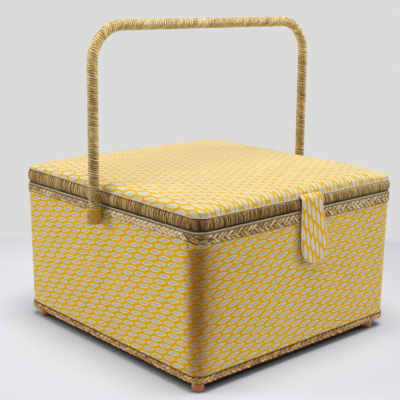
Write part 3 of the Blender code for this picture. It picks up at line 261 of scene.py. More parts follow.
plain = add_node(tree, 'ShaderNodeEmission', {}, {"Color": shade, "Strength": 1.0})
lit = Value(tree, table_top.shader.outputs[0])
shown = add_node(tree, 'ShaderNodeMixShader', {}, {0: far * seen(tree), 1: lit, 2: plain})
put(tree, tree.nodes["Material Output"].inputs["Surface"], shown)
bpy.ops.mesh.primitive_plane_add(size=FLOOR_SIZE)
floor = bpy.context.object
floor.name = "floor"
floor.data.materials.append(table_top.material)

world = bpy.data.worlds.new("studio")
bpy.context.scene.world = world
world.use_nodes = True
sky = world.node_tree
sky.nodes.clear()
room = add_node(sky, 'ShaderNodeBackground', {}, {"Color": (1, 1, 1, 1), "Strength": AMBIENT})
backdrop = add_node(sky, 'ShaderNodeBackground', {}, {"Color": paint(*WALL_PAINT), "Strength": 1})
shown = add_node(sky, 'ShaderNodeMixShader', {}, {0: seen(sky), 1: room, 2: backdrop})
put(sky, sky.nodes.new('ShaderNodeOutputWorld').inputs["Surface"], shown)

LAMPS = {
    "top lamp": ((-0.15, -0.35, 3.0), (0, 0, 0.17), 1.9, 82.0),
    "left lamp": ((-2.35, 1.95, 1.05), (0, 0, 0.10), 1.2, 45.0),
    "right lamp": ((2.75, -1.70, 1.05), (0, 0, 0.10), 1.2, 57.0),
}
for name, (place, aim, size, watts) in LAMPS.items():
    bpy.ops.object.light_add(type='AREA', location=place)
    lamp = bpy.context.object
    lamp.name = name
    lamp.data.shape = 'DISK'
    lamp.data.size = size
    lamp.data.energy = watts
    lamp.rotation_euler = (Vector(aim) - Vector(place)).to_track_quat('-Z', 'Y').to_euler()


# THE COVER ROUND THE BOX. Mustard cotton printed with a small pale leaf, one strip stretched round the
# boards and glued. It is turned in at the rim and the foot, and its seam is in the middle of the back.

HALF_WIDTH = 150 * MM
HALF_DEPTH = 154 * MM
CORNER = 14 * MM
SHIFT = -0.3 * MM
RIM = 162 * MM
FOOT = 10 * MM
TAPER = 1.5 * MM
COVER_THICK = 1.1 * MM
COVER_SLACK = 0.22 * MM


def outline(half_x, half_y, corner):
    """A rounded oblong's girth and pieces, from the middle of the back towards the left.

    Each piece is its start, its straight length, its bend's length and centre, and the way out and its turn.
    """
    flat_x, flat_y = half_x - corner, half_y - corner
    sides = ((flat_x, -1, 1, 90), (2 * flat_y, -1, -1, 180), (2 * flat_x, 1, -1, 270), (2 * flat_y, 1, 1, 0),
             (flat_x, 0, 1, 90))
    start, pieces = 0, []
    for length, right, back, turn in sides:
        turn = radians(turn)
        bend = abs(right) * corner * pi / 2
        way_out = (round(cos(turn)), round(sin(turn)))
        pieces.append((start, length, bend, (right * flat_x, back * flat_y), way_out, turn))
        start += length + bend
    return start, pieces


GIRTH, PATH = outline(HALF_WIDTH, HALF_DEPTH, CORNER)


def trace(run, girth, pieces, corner):
    """Where a run along an outline is, as arrays of x and y and of the way out there."""
    run = np.asarray(run, float) % girth
    x, y, out_x, out_y = (np.zeros(run.shape) for _ in range(4))
    for start, length, bend, centre, way_out, turn in pieces:
        along = run - start
        here = (along >= -1e-12) & (along <= length)
        past = along[here] - length
        x[here] = centre[0] + way_out[0] * corner - way_out[1] * past
        y[here] = centre[1] + way_out[1] * corner + way_out[0] * past
        out_x[here], out_y[here] = way_out
        here = (along > length) & (along < length + bend)
        angle = turn + (along[here] - length) / corner
        out_x[here], out_y[here] = np.cos(angle), np.sin(angle)
        x[here], y[here] = centre[0] + corner * out_x[here], centre[1] + corner * out_y[here]
    return x, y, out_x, out_y


def around(run, reach):
    """Where a run round the box is, as arrays of x and y. Reach is how far out of the box's face that is."""
    x, y, out_x, out_y = trace(run, GIRTH, PATH, CORNER)
    return x + out_x * reach, y + out_y * reach + SHIFT


def rows_at(*parts):
    """Points as rows of their parts, of which any may be one number for them all."""
    return np.stack(np.broadcast_arrays(*parts), -1)


def run_at(x, y):
    """The run round the box of each point on its outline."""
    run = np.zeros(x.shape)
    for start, length, bend, centre, way_out, turn in reversed(PATH):
        past_x, past_y = x - centre[0], y - SHIFT - centre[1]
        along = length + way_out[0] * past_y - way_out[1] * past_x
        out = way_out[0] * past_x + way_out[1] * past_y
        here = (along >= 0) & (along <= length) & (out > CORNER / 2)
        run[here] = start + along[here]
        angle = (np.arctan2(past_y, past_x) - turn) % (2 * pi)
        here = (angle > 0) & (angle < pi / 2) & (bend > 0)
        run[here] = start + length + CORNER * angle[here]
    return run


def wall_inset(height):
    """How far the walls lean in at a height."""
    return TAPER * (RIM - height) / (RIM - FOOT)


def lumps_at(x, y, z):
    """Smooth random numbers from -1 to 1 at places in space."""
    return np.array([noise.noise(Vector(place)) for place in rows_at(x, y, z).reshape(-1, 3)])


def points_of(obj):
    """A mesh's points, as an array of rows."""
    points = np.zeros(len(obj.data.vertices) * 3)
    obj.data.vertices.foreach_get("co", points)
    return points.reshape(-1, 3)


def move_points(obj, points):
    obj.data.vertices.foreach_set("co", np.ascontiguousarray(points, float).ravel())
    obj.data.update()


def map_flat(mesh, label, places, wrap=None):
    """Write each point's place on the flat piece, in metres, as a UV map that a pattern follows."""
    layer = mesh.uv_layers.get(label) or mesh.uv_layers.new(name=label)
    corners = np.zeros(len(mesh.loops), int)
    mesh.loops.foreach_get("vertex_index", corners)
    flat = np.asarray(places, float).reshape(-1, 2)[corners]
    if wrap:
        for face in mesh.polygons:
            span = flat[face.loop_start:face.loop_start + face.loop_total, 0]
            if span.max() - span.min() > wrap / 2:
                span[span < wrap / 2] += wrap
    layer.data.foreach_set("uv", flat.ravel())


def only(obj):
    """Make one piece the only one selected, and the active one."""
    bpy.ops.object.select_all(action='DESELECT')
    obj.select_set(True)
    bpy.context.view_layer.objects.active = obj


def work_on(obj):
    """Open one piece in edit mode with nothing selected."""
    only(obj)
    bpy.ops.object.mode_set(mode='EDIT')
    bpy.ops.mesh.select_all(action='DESELECT')


def pick(obj, kind, test):
    """Select the faces or edges whose middle and direction pass a test, and nothing else."""
    bpy.ops.mesh.select_all(action='DESELECT')
    bpy.ops.mesh.select_mode(type={"faces": 'FACE', "edges": 'EDGE'}[kind])
    mesh = bmesh.from_edit_mesh(obj.data)
    for element in getattr(mesh, kind):
        if kind == "faces":
            middle, way = element.calc_center_median(), element.normal
        else:
            first, second = (vert.co for vert in element.verts)
            middle, way = (first + second) / 2, (second - first).normalized()
        if test(middle, way):
            element.select_set(True)
    mesh.select_flush_mode()
    bmesh.update_edit_mesh(obj.data)


def slice_at(axis, places):
    """Cut the whole piece across an axis at each place, as extra rows of points."""
    for place in places:
        bpy.ops.mesh.select_all(action='SELECT')
        spot = [0, 0, 0]
        way = [0, 0, 0]
        spot[axis], way[axis] = place, 1
        bpy.ops.mesh.bisect(plane_co=spot, plane_no=way, use_fill=False)


def rounded_block(name, middle, size, corner, segments):
    """A block with its upright edges rounded, left open in edit mode."""
    bpy.ops.mesh.primitive_cube_add(size=1, location=middle, scale=size)
    block = bpy.context.object
    block.name = name
    bpy.ops.object.transform_apply(location=True, rotation=True, scale=True)
    work_on(block)
    pick(block, "edges", lambda middle, way: abs(way.z) > 0.9)
    bpy.ops.mesh.bevel(offset=corner, segments=segments, affect='EDGES')
    return block


def modify(obj, kind, **settings):
    """Add a modifier and apply it."""
    only(obj)
    modifier = obj.modifiers.new(kind, kind)
    for name, value in settings.items():
        setattr(modifier, name, value)
    bpy.ops.object.modifier_apply(modifier=modifier.name)


def settle(obj, finish, body, replaced=(), smooth=35, blend=None):
    """Give a piece its finish and shading, its body unless it blends, and its place in its mesh."""
    only(obj)
    bpy.ops.object.transform_apply(location=True, rotation=True, scale=True)
    obj.data.materials.clear()
    obj.data.materials.append(finish.material)
    bpy.ops.object.shade_smooth_by_angle(angle=radians(smooth))
    if blend:
        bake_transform(obj)
    else:
        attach(obj, body)
    if replaced:
        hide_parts(*replaced)
    return obj


LEAF_TILT = radians(10.4)
LEAF_ROW = 6.03
LEAF_PITCH = 20.43
LEAF_STEP = 7.92
LEAF_LENGTH = 18.2
LEAF_HALF = 2.36
LEAF_WIDEST = 0.40
OUTLINE = 0.50
OUTLINE_ENDS = (1.0, 1.6)
PRINT_BLUR = 0.35
SHADE_START = 427
SHADE_RISE = 15
SHADE_DARKEST = 449
SHADE_NEAR = 32
SHADE_FAR = 130
SHADE_LOW = 12
SHADE_GROWS = 60
SHADE_TOP = 152
SHADE_FADE = 7


def leaf_print(finish):
    """The print: how much of a point is leaf and how much is the leaf's grey middle. All in millimetres."""
    u, v = finish.flat_places("cloth")
    where = finish.node('ShaderNodeUVMap', {"uv_map": "cloth"})
    u = u * 1000 + (finish.noise(where, 260.0, 1.0) - 0.5) * 1.3
    v = v * 1000 + (finish.noise(where, 190.0, 1.0) - 0.5) * 1.1
    along = u * cos(LEAF_TILT) + v * sin(LEAF_TILT)
    across = v * cos(LEAF_TILT) - u * sin(LEAF_TILT)
    row = (across / LEAF_ROW + 0.5).floored()
    side = abs(across - row * LEAF_ROW)
    run = along - row * LEAF_STEP
    run = run - (run / LEAF_PITCH + 0.5).floored() * LEAF_PITCH + LEAF_LENGTH / 2

    def leaf(share, half):
        blunt = ((LEAF_WIDEST - share) / LEAF_WIDEST).clamped()
        sharp = ((share - LEAF_WIDEST) / (1 - LEAF_WIDEST)).clamped()
        width = half * (1 - blunt ** 1.8) ** 0.9 * (1 - sharp ** 1.6)
        inside = (share * (1 - share) * 60).clamped()
        return ((width - side) / PRINT_BLUR + 0.5).clamped() * inside

    start, end = OUTLINE_ENDS
    whole = leaf(run / LEAF_LENGTH, LEAF_HALF)
    middle = leaf((run - start) / (LEAF_LENGTH - start - end), LEAF_HALF - OUTLINE)
    return whole, middle


def weave(finish, threads=0.45):
    """A plain weave's relief, in threads of so many millimetres."""
    u, v = finish.flat_places("cloth")
    turn = 2 * pi * 1000 / (2 * threads)
    return ((u * turn).sine() * (v * turn).sine()) * 0.5 + 0.5


def printed_cotton(name, deep, bright, middle, sheen):
    """The leaf cloth, with painted shade along the near left corner of the walls."""
    cotton = Finish(name)
    leaf, leaf_middle = leaf_print(cotton)
    ground = cotton.mixed(cotton.noise(cotton.place(), 28.0, 3.0), paint(*deep), paint(*bright))
    colour = cotton.mixed(leaf, ground, cotton.mixed(leaf_middle, paint(242, 230, 170), paint(*middle)))
    # Painted shade: darker round the near left corner of the walls, less towards the foot and none near the
    # rim.
    run, height = (place * 1000 for place in cotton.flat_places("cloth"))
    near, far_off = (1 - (run - SHADE_DARKEST) / span for span in (SHADE_NEAR, SHADE_FAR))
    shade = ((run - SHADE_START) / SHADE_RISE).clamped() ** 1.2
    shade = shade * (near.clamped() ** 1.2 * 0.78 + far_off.clamped() * 0.22)
    shade = shade * (((height - SHADE_LOW) / SHADE_GROWS).clamped() * 0.45 + 0.55)
    shade = shade * ((SHADE_TOP - height) / SHADE_FADE).clamped()
    colour = cotton.mixed(shade, colour, paint(188, 154, 110), 'MULTIPLY')
    return cotton.surface(colour, 0.75, weave(cotton), 0.12 * MM,
                          {"Sheen Weight": sheen, "Sheen Roughness": 0.45, "Specular IOR Level": 0.12})


leaf_cloth = printed_cotton("leaf cloth", (206, 154, 0), (230, 180, 4), (188, 180, 170), 0.03)
# Painted light: the lid's copy of the cloth is paler and yellower, with more sheen, for the strong light on
# the lid.
lid_leaf_cloth_painted_lighter = printed_cotton("leaf cloth on lid", (204, 161, 34), (224, 183, 62), (200, 197, 189), 0.12)

cover = rounded_block("cover_cloth", (0, SHIFT, (RIM + FOOT) / 2),
                      (2 * HALF_WIDTH, 2 * HALF_DEPTH, RIM - FOOT), CORNER, 10)
pick(cover, "faces", lambda middle, normal: abs(normal.z) > 0.9)
bpy.ops.mesh.delete(type='FACE')
slice_at(2, [FOOT + (RIM - FOOT) * step / 16 for step in range(1, 16)])
slice_at(0, [HALF_WIDTH * step / 14 for step in range(-12, 13)])
slice_at(1, [SHIFT + HALF_DEPTH * step / 14 for step in range(-12, 13)])
bpy.ops.object.mode_set(mode='OBJECT')
x, y, height = points_of(cover).T
run = run_at(x, y)
sag = np.sin(pi * np.clip((height - FOOT) / (RIM - FOOT), 0, 1))
sag *= COVER_SLACK * lumps_at(run * 55, height * 70, 3.1)
move_points(cover, rows_at(*around(run, sag - wall_inset(height)), height))
map_flat(cover.data, "cloth", np.stack([run, height], 1), GIRTH)
modify(cover, 'SOLIDIFY', thickness=COVER_THICK, offset=-1)
settle(cover, leaf_cloth, "box", ["outer_cover"])
GIRTH * 0.160


# THE FEET. Four stained and varnished wooden beads with a flat ground on them, glued by their tenons
# into the base a little unevenly, so that the right pair stands further in.

FEET = {"front_left": (-139.5, -143.5), "front_right": (126.5, -143.5),
        "back_left": (-139.5, 133.9), "back_right": (126.5, 133.9)}
BEAD = [(0, 0), (3.9, 0), (4.4, 0.2), (5.4, 1.1), (6.1, 2.3), (6.5, 3.7), (6.6, 5.0), (6.45, 6.3), (6.0, 7.6),
        (5.5, 8.6), (5.1, 9.4), (5.0, 9.9), (0, 9.9)]


def two_tone(name, first, second, roughness, grain, relief, stretch=(1, 1, 1), swing=0, fixed=None):
    """A finish of two colours mixed by a noise, of a scale and a detail, that is its relief too."""
    finish = Finish(name)
    speck = finish.noise(finish.place(stretch), *grain)
    if swing:
        roughness = speck * swing + roughness
    colour = finish.mixed(speck, paint(*first), paint(*second))
    return finish.surface(colour, roughness, speck, relief * MM, fixed)


bead_wood = two_tone("stained bead", (136, 68, 20), (208, 122, 54), 0.32, (420.0, 3.0), 0.05, (1, 1, 5),
                     fixed={"Coat Weight": 0.5, "Coat Roughness": 0.15})


def add_object(name, data):
    obj = bpy.data.objects.new(name, data)
    bpy.context.collection.objects.link(obj)
    return obj


def lathe(name, profile, steps=40, turn=Matrix.Identity(4)):
    """Spin a profile of radii and heights, in millimetres, about the Z axis, and put it where turn says."""
    mesh = bpy.data.meshes.new(name)
    mesh.from_pydata([(radius * MM, 0, height * MM) for radius, height in profile],
                     [(step, step + 1) for step in range(len(profile) - 1)], [])
    obj = add_object(name, mesh)
    work_on(obj)
    bpy.ops.mesh.select_all(action='SELECT')
    bpy.ops.mesh.spin(steps=steps, angle=2 * pi, center=(0, 0, 0), axis=(0, 0, 1))
    bpy.ops.mesh.select_all(action='SELECT')
    bpy.ops.mesh.remove_doubles(threshold=0.005 * MM)
    bpy.ops.mesh.normals_make_consistent(inside=False)
    bpy.ops.object.mode_set(mode='OBJECT')
    obj.data.transform(turn)
    return obj


for name, (x, y) in FEET.items():
    foot = lathe(f"bead_{name}", BEAD, turn=Matrix.Translation((x * MM, y * MM, 0)))
    settle(foot, bead_wood, "box", [f"foot_{name}"], smooth=50)


# THE STRAW PLAITS. Two flat plaits of three straw strands, glued round the box under the rim and at
# the foot. Each strand crosses over one and under the next, and none is quite as wide as another.

PLAIT_TURN = 20.0 * MM
PLAIT_FACE = 0.85 * MM
PLAIT_RISE = 0.24 * MM
PLAIT_STEP = 1.1 * MM
PLAIT_BACKING = ((0, -0.46), (0.45 * MM, -0.43), (0.45 * MM, 0.47), (0, 0.5))
STRAND_SIDES = 8
STRAND_HALF = 1.70 * MM
STRAND_THICK = 0.34 * MM
STRAND_MARGIN = 1.9 * MM
LEFT_WALL = ((130, 165, 432, 458), (0, 1, 1, 0))
RIM_PAINTED_LIGHT = ((150, 270, 320, 420, 438, 470, 620, 680, 800),
             (0.08, 0.14, 0.42, 0.42, 0, 0.06, 0.10, 0.26, 0.26))


def straw_finish(name, stretch, stops, painted_crevice_shade, rough, relief, shine, share=0.5, fray=0.6, pale_below=None):
    """Dried straw: fine fibres along each strand, the strand's own tone, and painted shade in the crevices
    between strands.
    """
    finish = Finish(name)
    tone = finish.attribute("tone")
    u, v = finish.flat_places("fibre")
    parts = {number: part * factor for number, (part, factor) in enumerate(zip((u, v, tone), stretch))}
    fibres = finish.noise(finish.node('ShaderNodeCombineXYZ', {}, parts), 1.0, 3.0, fray)
    colour = finish.ramp(tone * share + fibres * (1 - share), *((stop, paint(*tint)) for stop, tint in stops))
    # Painted shade: the crease attribute darkens the colour towards the crevice shade colour.
    colour = finish.mixed(finish.attribute("crease"), colour, paint(*painted_crevice_shade), 'MULTIPLY')
    if pale_below:
        height = finish.node('ShaderNodeSeparateXYZ', {}, {0: finish.place()}, "Z")
        colour = finish.mixed((pale_below - height / MM).clamped(), colour, paint(262, 246, 236), 'MULTIPLY')
    return finish.surface(colour, rough, fibres, relief * MM, {"Specular IOR Level": shine})


def new_mesh(name, points, faces, floats=None, flat=None):
    """A piece from points and faces, with float attributes for its points and a UV map in metres."""
    mesh = bpy.data.meshes.new(name)
    mesh.from_pydata(np.asarray(points, float).reshape(-1, 3).tolist(), [], faces)
    for label, values in (floats or {}).items():
        mesh.attributes.new(label, 'FLOAT', 'POINT').data.foreach_set("value", values)
    for label, places in (flat or {}).items():
        map_flat(mesh, label, places)
    return add_object(name, mesh)


def grid_faces(rows, columns, close_rows=False, close_columns=False, first=0, flip=False):
    """Four-sided faces over points numbered row by row."""
    faces = []
    for row in range(rows if close_rows else rows - 1):
        for column in range(columns if close_columns else columns - 1):
            after = (column + 1) % columns
            here, above = first + row * columns, first + (row + 1) % rows * columns
            face = (here + column, here + after, above + after, above + column)
            faces.append(face[::-1] if flip else face)
    return faces


def angles(count):
    """The angle of each side of a strand that has so many."""
    return [side * 2 * pi / count for side in range(count)]


def wobble(values, scale, seed):
    """Smooth random numbers from -1 to 1 along a line of values."""
    return lumps_at(values * scale, seed, 0.37)


class Bundle:
    """Strands of straw gathered into one mesh, each point with its tone, to which painted light is added in
    places, its painted crease shade and its place on the fibre.
    """

    def __init__(self):
        self.points, self.tones, self.creases, self.fibres, self.faces = [], [], [], [], []
        self.count = 0

    def add(self, points, tone, crease, fibre, flip=False, tube=False):
        """Add rows of points that close into a ring. A tube's rows are its sides, and its ends are closed."""
        rows, columns = points.shape[:2]
        self.faces += grid_faces(rows, columns, True, not tube, self.count, flip or tube)
        if tube:
            start, end = (tuple(self.count + side * columns + place for side in range(rows))
                          for place in (0, columns - 1))
            self.faces += [start[::-1], end]
        self.points.append(points.reshape(-1, 3))
        self.tones.append(np.broadcast_to(tone, (rows, columns)).ravel())
        self.creases.append(np.broadcast_to(crease, (rows, columns)).ravel())
        self.fibres.append(np.broadcast_to(fibre, (rows, columns, 2)).reshape(-1, 2))
        self.count += rows * columns

    def made(self, name):
        floats = {"tone": np.concatenate(self.tones), "crease": np.concatenate(self.creases)}
        flat = {"fibre": np.concatenate(self.fibres)}
        return new_mesh(name, np.concatenate(self.points), self.faces, floats, flat)


def make_plait(name, middle, width, narrower, tapered, seed, backing):
    """Three strands plaited round the box at a height, narrower along the left wall, on a straw backing
    painted darker as shade. The rim plait is painted lighter in places.
    """
    turns = round(GIRTH / PLAIT_TURN)
    run = np.arange(0, GIRTH, PLAIT_STEP)
    run = run * GIRTH / (run[-1] + PLAIT_STEP)
    on_left = np.interp(run / MM, *LEFT_WALL)
    middle = middle + narrower / 2 * on_left
    width = width - narrower * on_left
    # Painted light: the rim plait paler along the left wall, most near its front, and round the front right
    # corner, and not at the near left corner.
    paler = np.interp(run / MM, *RIM_PAINTED_LIGHT) * (narrower > 0)
    inset = wall_inset(middle) if tapered else 0
    plait = Bundle()
    rows = [rows_at(*around(run, reach - inset), middle + width * share) for reach, share in PLAIT_BACKING]
    # Painted shade: the backing darkened towards the crevice colour, most at the foot.
    plait.add(np.stack(rows, 1), *backing, 0, flip=True)
    for strand in range(3):
        phase = 2 * pi * (run * turns / GIRTH + strand / 3)
        phase = phase + 0.75 * wobble(run, 34, seed + strand)
        half = STRAND_HALF + 0.50 * MM * wobble(run, 130, seed + strand + 5)
        up = (width / 2 - STRAND_MARGIN) * np.sin(phase) + 0.5 * MM * wobble(run, 90, seed + strand + 9)
        over = np.sin(2 * phase)
        slope = np.gradient(up, run)
        lean = 1 / np.sqrt(1 + slope ** 2)
        inset = wall_inset(middle + up) if tapered else 0
        tone = 0.5 + 0.60 * wobble(run, 95, seed + strand + 13) + paler
        rows, tones, creases, fibres = [], [], [], []
        for angle in angles(STRAND_SIDES):
            across = half * cos(angle)
            reach = PLAIT_FACE + PLAIT_RISE * over + STRAND_THICK * sin(angle) - inset
            rows.append(rows_at(*around(run - across * slope * lean, reach), middle + up + across * lean))
            tones.append(tone + 0.10 * sin(angle))
            # Painted shade: each strand darker towards its edges and where it passes under the others.
            creases.append(np.clip(0.95 * abs(cos(angle)) ** 1.6 + 0.35 * np.clip(-over, 0, 1), 0, 1))
            fibres.append(rows_at(run, across))
        plait.add(*(np.stack(part, 1) for part in (rows, tones, creases, fibres)))
    return plait.made(name)


straw_tints = ((0.22, (96, 62, 28)), (0.40, (164, 122, 60)), (0.56, (204, 166, 94)), (0.76, (244, 222, 164)))
straw = straw_finish("straw", (130, 1500, 40), straw_tints, (66, 38, 14), 0.55, 0.20, 0.22, fray=0.65,
                     pale_below=31)
rim_plait = make_plait("plait_at_rim", 156.85 * MM, 11.2 * MM, 2.4 * MM, False, 1.7, (0.42, 0.42))
settle(rim_plait, straw, "box", ["top_plait"], smooth=60)
foot_plait = make_plait("plait_at_foot", 13.95 * MM, 8.0 * MM, 0, True, 4.2, (0.2, 0.8))
settle(foot_plait, straw, "box", ["bottom_plait"], smooth=60)


# THE PLAIT'S JOIN. The rim plait's two ends meet at the near left corner, where a few loose straws are
# tucked across them and one hangs down. Each is where it starts and ends, run and height, and its half width.

JOIN_STRAWS = [(431, 160.9, 446, 154.2, 1.2), (436, 161.6, 455, 157.4, 0.9), (438, 157.6, 458, 153.0, 1.1),
               (444, 154.0, 462, 159.4, 0.8), (434, 156.2, 449, 152.2, 0.8), (447, 160.6, 466, 156.0, 1.0),
               (436, 153.8, 437, 147.6, 0.5)]
JOIN_SIDES = 6
JOIN_FACE = 1.75
HANGING_FACE = 0.35 * MM

join = Bundle()
share = np.linspace(0, 1, 22)
for number, (run_from, low, run_to, high, half) in enumerate(JOIN_STRAWS):
    run = (run_from + (run_to - run_from) * share) * MM
    height = (low + (high - low) * share + 0.5 * np.sin(share * 5 + number)) * MM
    taper = half * MM * np.clip(np.minimum(share, 1 - share) * 6, 0.25, 1)
    slope = (high - low) / (run_to - run_from)
    steep = 1 / sqrt(1 + slope * slope)
    proud = (JOIN_FACE + 0.18 * (number % 3) - 0.8 * np.abs(2 * share - 1) ** 3) * MM
    if number == len(JOIN_STRAWS) - 1:
        proud = HANGING_FACE + (proud - HANGING_FACE) * (1 - share) ** 2
    tone = 0.05 + 0.24 * (number * 5 % 4) - 0.35 * np.exp(-((share - 0.75) / 0.2) ** 2)
    sides, creases, fibres = [], [], []
    for angle in angles(JOIN_SIDES):
        across = taper * cos(angle)
        place = around(run - across * slope * steep, proud + 0.3 * MM * sin(angle))
        sides.append(rows_at(*place, height + across * steep))
        # Painted shade: each straw darker along its sides.
        creases.append(np.full(share.shape, 0.9 * abs(cos(angle)) ** 3))
        fibres.append(rows_at(run, across.mean() if number else 0.0))
    join.add(np.stack(sides), tone, np.stack(creases), np.stack(fibres), tube=True)
settle(join.made("plait_join"), straw, "box", smooth=60)


# THE THIN CORDS. Pale two-ply cord, glued in the groove on top of the rim and again where the lid's
# cloth meets its band.

CORD_SIDES = 8

cord_finish = Finish("pale cord")
u, v = cord_finish.flat_places("fibre")
# Painted shade: the cord darker in the grooves between its plies.
ply = ((u * 2 * pi * 1000 / 2.2 + v * 1000 * 2.2).sine() * 0.5 + 0.5) ** 0.6
cord_finish.surface(cord_finish.mixed(ply, paint(170, 148, 112), paint(230, 214, 184)), 0.7, ply, 0.3 * MM)


def hem_drop(x, y):
    """How far the lid's cloth is drawn down over its edge, most at the front and the right."""
    right, front = np.asarray(x) / HALF_WIDTH, -np.asarray(y) / HALF_DEPTH
    return (1.75 + 0.5 * right + 1.55 * front - 0.1 * right * front) * MM


def make_cord(name, reach, height, radius, body, replaced, follows=0):
    """A cord lying round the box's outline, which may follow the edge of the lid's cloth."""
    run = np.linspace(0, GIRTH, 900, endpoint=False)
    points, flat = [], []
    for angle in angles(CORD_SIDES):
        x, y = around(run, reach + radius * cos(angle))
        points.append(rows_at(x, y, height + radius * sin(angle) - follows * hem_drop(x, y)))
        flat.append(rows_at(run, angle * MM))
    faces = grid_faces(len(run), CORD_SIDES, True, True, flip=True)
    cord = new_mesh(name, np.stack(points, 1), faces, None, {"fibre": np.stack(flat, 1)})
    settle(cord, cord_finish, body, [replaced], smooth=60)


make_cord("cord_on_rim", -0.35 * MM, 163.3 * MM, 0.75 * MM, "box", "rim_cord")
make_cord("cord_on_lid", -0.9 * MM, 180.6 * MM, 0.6 * MM, "lid", "lid_cord", follows=1)


# THE LID'S BAND. A wooden strip wound crosswise with straw: over seven hundred short strands lie side by
# side on a core painted dark as the shade between them, each a little aslant and of its own tone, to which
# painted light and shade are added round the lid. Their upper ends stand up unevenly over the edge of the
# lid's cloth.

BAND_LOW = 165.1 * MM
BAND_HIGH = 179.0 * MM
BAND_BULGE = 2.2 * MM
BAND_HALF = 6.85 * MM
BAND_SHOULDER = -0.9 * MM
BAND_INNER = -6.1 * MM
CORE_DEPTH = 0.45 * MM
STRAND_PITCH = 1.65 * MM
NEAR_CORNER = 451 * MM
BAND_PAINTED_LIGHT = ((0, 150, 300, 410, 440, 470, 580, 625, 740, 900, 1192),
              (0.10, 0.24, 0.20, 0.08, -0.04, -0.16, -0.14, 0.18, 0.24, 0.14, 0.10))

band_tints = ((0.20, (112, 78, 32)), (0.42, (160, 122, 60)), (0.60, (196, 160, 92)), (0.86, (236, 210, 146)))
band_straw = straw_finish("wound straw", (1500, 110, 40), band_tints, (82, 48, 18), 0.6, 0.18, 0.15, 0.55)

section = [(BAND_INNER, BAND_LOW + 0.25 * MM), (-3.5 * MM, BAND_LOW + 0.1 * MM)]
for step in range(11):
    rise = abs(-1 + step / 5) ** 0.9 * (1 if step > 5 else -1)
    reach = BAND_SHOULDER + BAND_BULGE * (1 - abs(rise) ** 3)
    section.append((reach, (BAND_LOW + BAND_HIGH) / 2 + BAND_HALF * rise))
section += [(-0.60 * MM, BAND_HIGH + 0.7 * MM), (-0.40 * MM, BAND_HIGH + 1.5 * MM),
            (-1.1 * MM, BAND_HIGH + 1.9 * MM)]
section = np.array(section)


def below_hem(x, y, height):
    """A height on the band, brought down to stay under the edge of the lid's cloth."""
    return BAND_LOW + (height - BAND_LOW) * (1 - hem_drop(x, y) / (BAND_HIGH - BAND_LOW))


band = Bundle()
run = np.linspace(0, GIRTH, 420, endpoint=False)
core = []
for reach, height in section:
    x, y = around(run, reach - CORE_DEPTH)
    lift = 0.3 * MM if height < BAND_LOW + 0.9 * MM else 0
    core.append(rows_at(x, y, below_hem(x, y, min(height + lift, BAND_HIGH + 1.2 * MM))))
# Painted shade: the core is darkened fully to the crevice colour, as the shade between the strands.
band.add(np.stack(core, 1), 0.1, 1, 0, flip=True)
strand_count = round(GIRTH / STRAND_PITCH)
strand_shape = ((-1.0, -0.52), (-0.6, -0.13), (0.0, 0.0), (0.6, -0.13), (1.0, -0.52), (0.0, -0.95))
mix = np.random.default_rng(11)
level = (section[:, 1] - section[:, 1].mean()) / (BAND_HIGH - BAND_LOW)
# Painted shade: darker along the band's lower edge, where it curves under, and at the near left corner.
painted_shade_low_edge = 0.30 * np.clip(-2 * level - 0.55, 0, 0.45) / 0.45
for strand in range(strand_count):
    jitter, aslant, wide, shade, tall = mix.uniform(-1, 1, 5)
    middle = (strand + 0.25 * jitter) * GIRTH / strand_count
    half = (0.46 + 0.10 * wide) * STRAND_PITCH * (1 - 0.22 * np.clip(-2 * level, 0, 1) ** 2)
    proud = -0.05 * MM + 0.11 * MM * mix.uniform(-1, 1)
    lean = middle + level * (2.4 * aslant - 0.5) * MM
    crease = painted_shade_low_edge + 0.5 * exp(-((middle - NEAR_CORNER) / (6 * MM)) ** 2)
    height = section[:, 1] + np.where(section[:, 1] > BAND_HIGH, 0.75 * tall * MM, 0)
    sides, creases, fibres = [], [], []
    for share, drop in strand_shape:
        x, y = around(lean + half * share, section[:, 0] + proud + drop * MM)
        sides.append(rows_at(x, y, below_hem(x, y, height)))
        creases.append(np.clip(0.95 * abs(share) ** 2.2 + crease, 0, 1))
        fibres.append(rows_at(middle + half * share, height))
    # Painted light and shade added to each strand's tone: darkest along the front by the near left corner,
    # lightest at the back left and the front right.
    tone = 0.5 + 0.36 * shade + np.interp(middle / MM, *BAND_PAINTED_LIGHT)
    band.add(np.stack(sides), tone, np.stack(creases), np.stack(fibres), tube=True)
settle(band.made("band_of_wound_straw"), band_straw, "lid", ["lid_band_wrap"], smooth=70)


# THE PADDED TOP OF THE LID. The same leaf cloth, in a copy painted lighter for the strong light on top, over
# wadding on a board, drawn down at the edges behind the band. It rolls up steeply at the front and the left,
# and more gently at the back and the right.

LID_CLOTH_REACH = -0.75 * MM
LID_EDGE = 180.3 * MM
LID_PEAK = 192.9 * MM
HEM = 1.2 * MM
LOW_EDGE = 2.0 * MM
ROLL_WIDTH = 9.5 * MM
ROLL_HEIGHT = 8.6 * MM
CORNER_GROWTH = 0.7
LID_RINGS = 34
LID_SIDES = 280
SLACK_RISE = 0.8 * MM
FAR_CORNER = 46 * MM


def ring_round(inset, corner):
    """Evenly spaced points on the box's outline drawn in by an inset, and the way out at each."""
    half_x, half_y = HALF_WIDTH - inset, HALF_DEPTH - inset
    corner = min(corner, half_x * 0.98, half_y * 0.98)
    girth, pieces = outline(half_x, half_y, corner)
    run = girth * np.arange(LID_SIDES) / LID_SIDES - (half_x - corner)
    return np.stack(trace(run, girth, pieces, corner), 1)


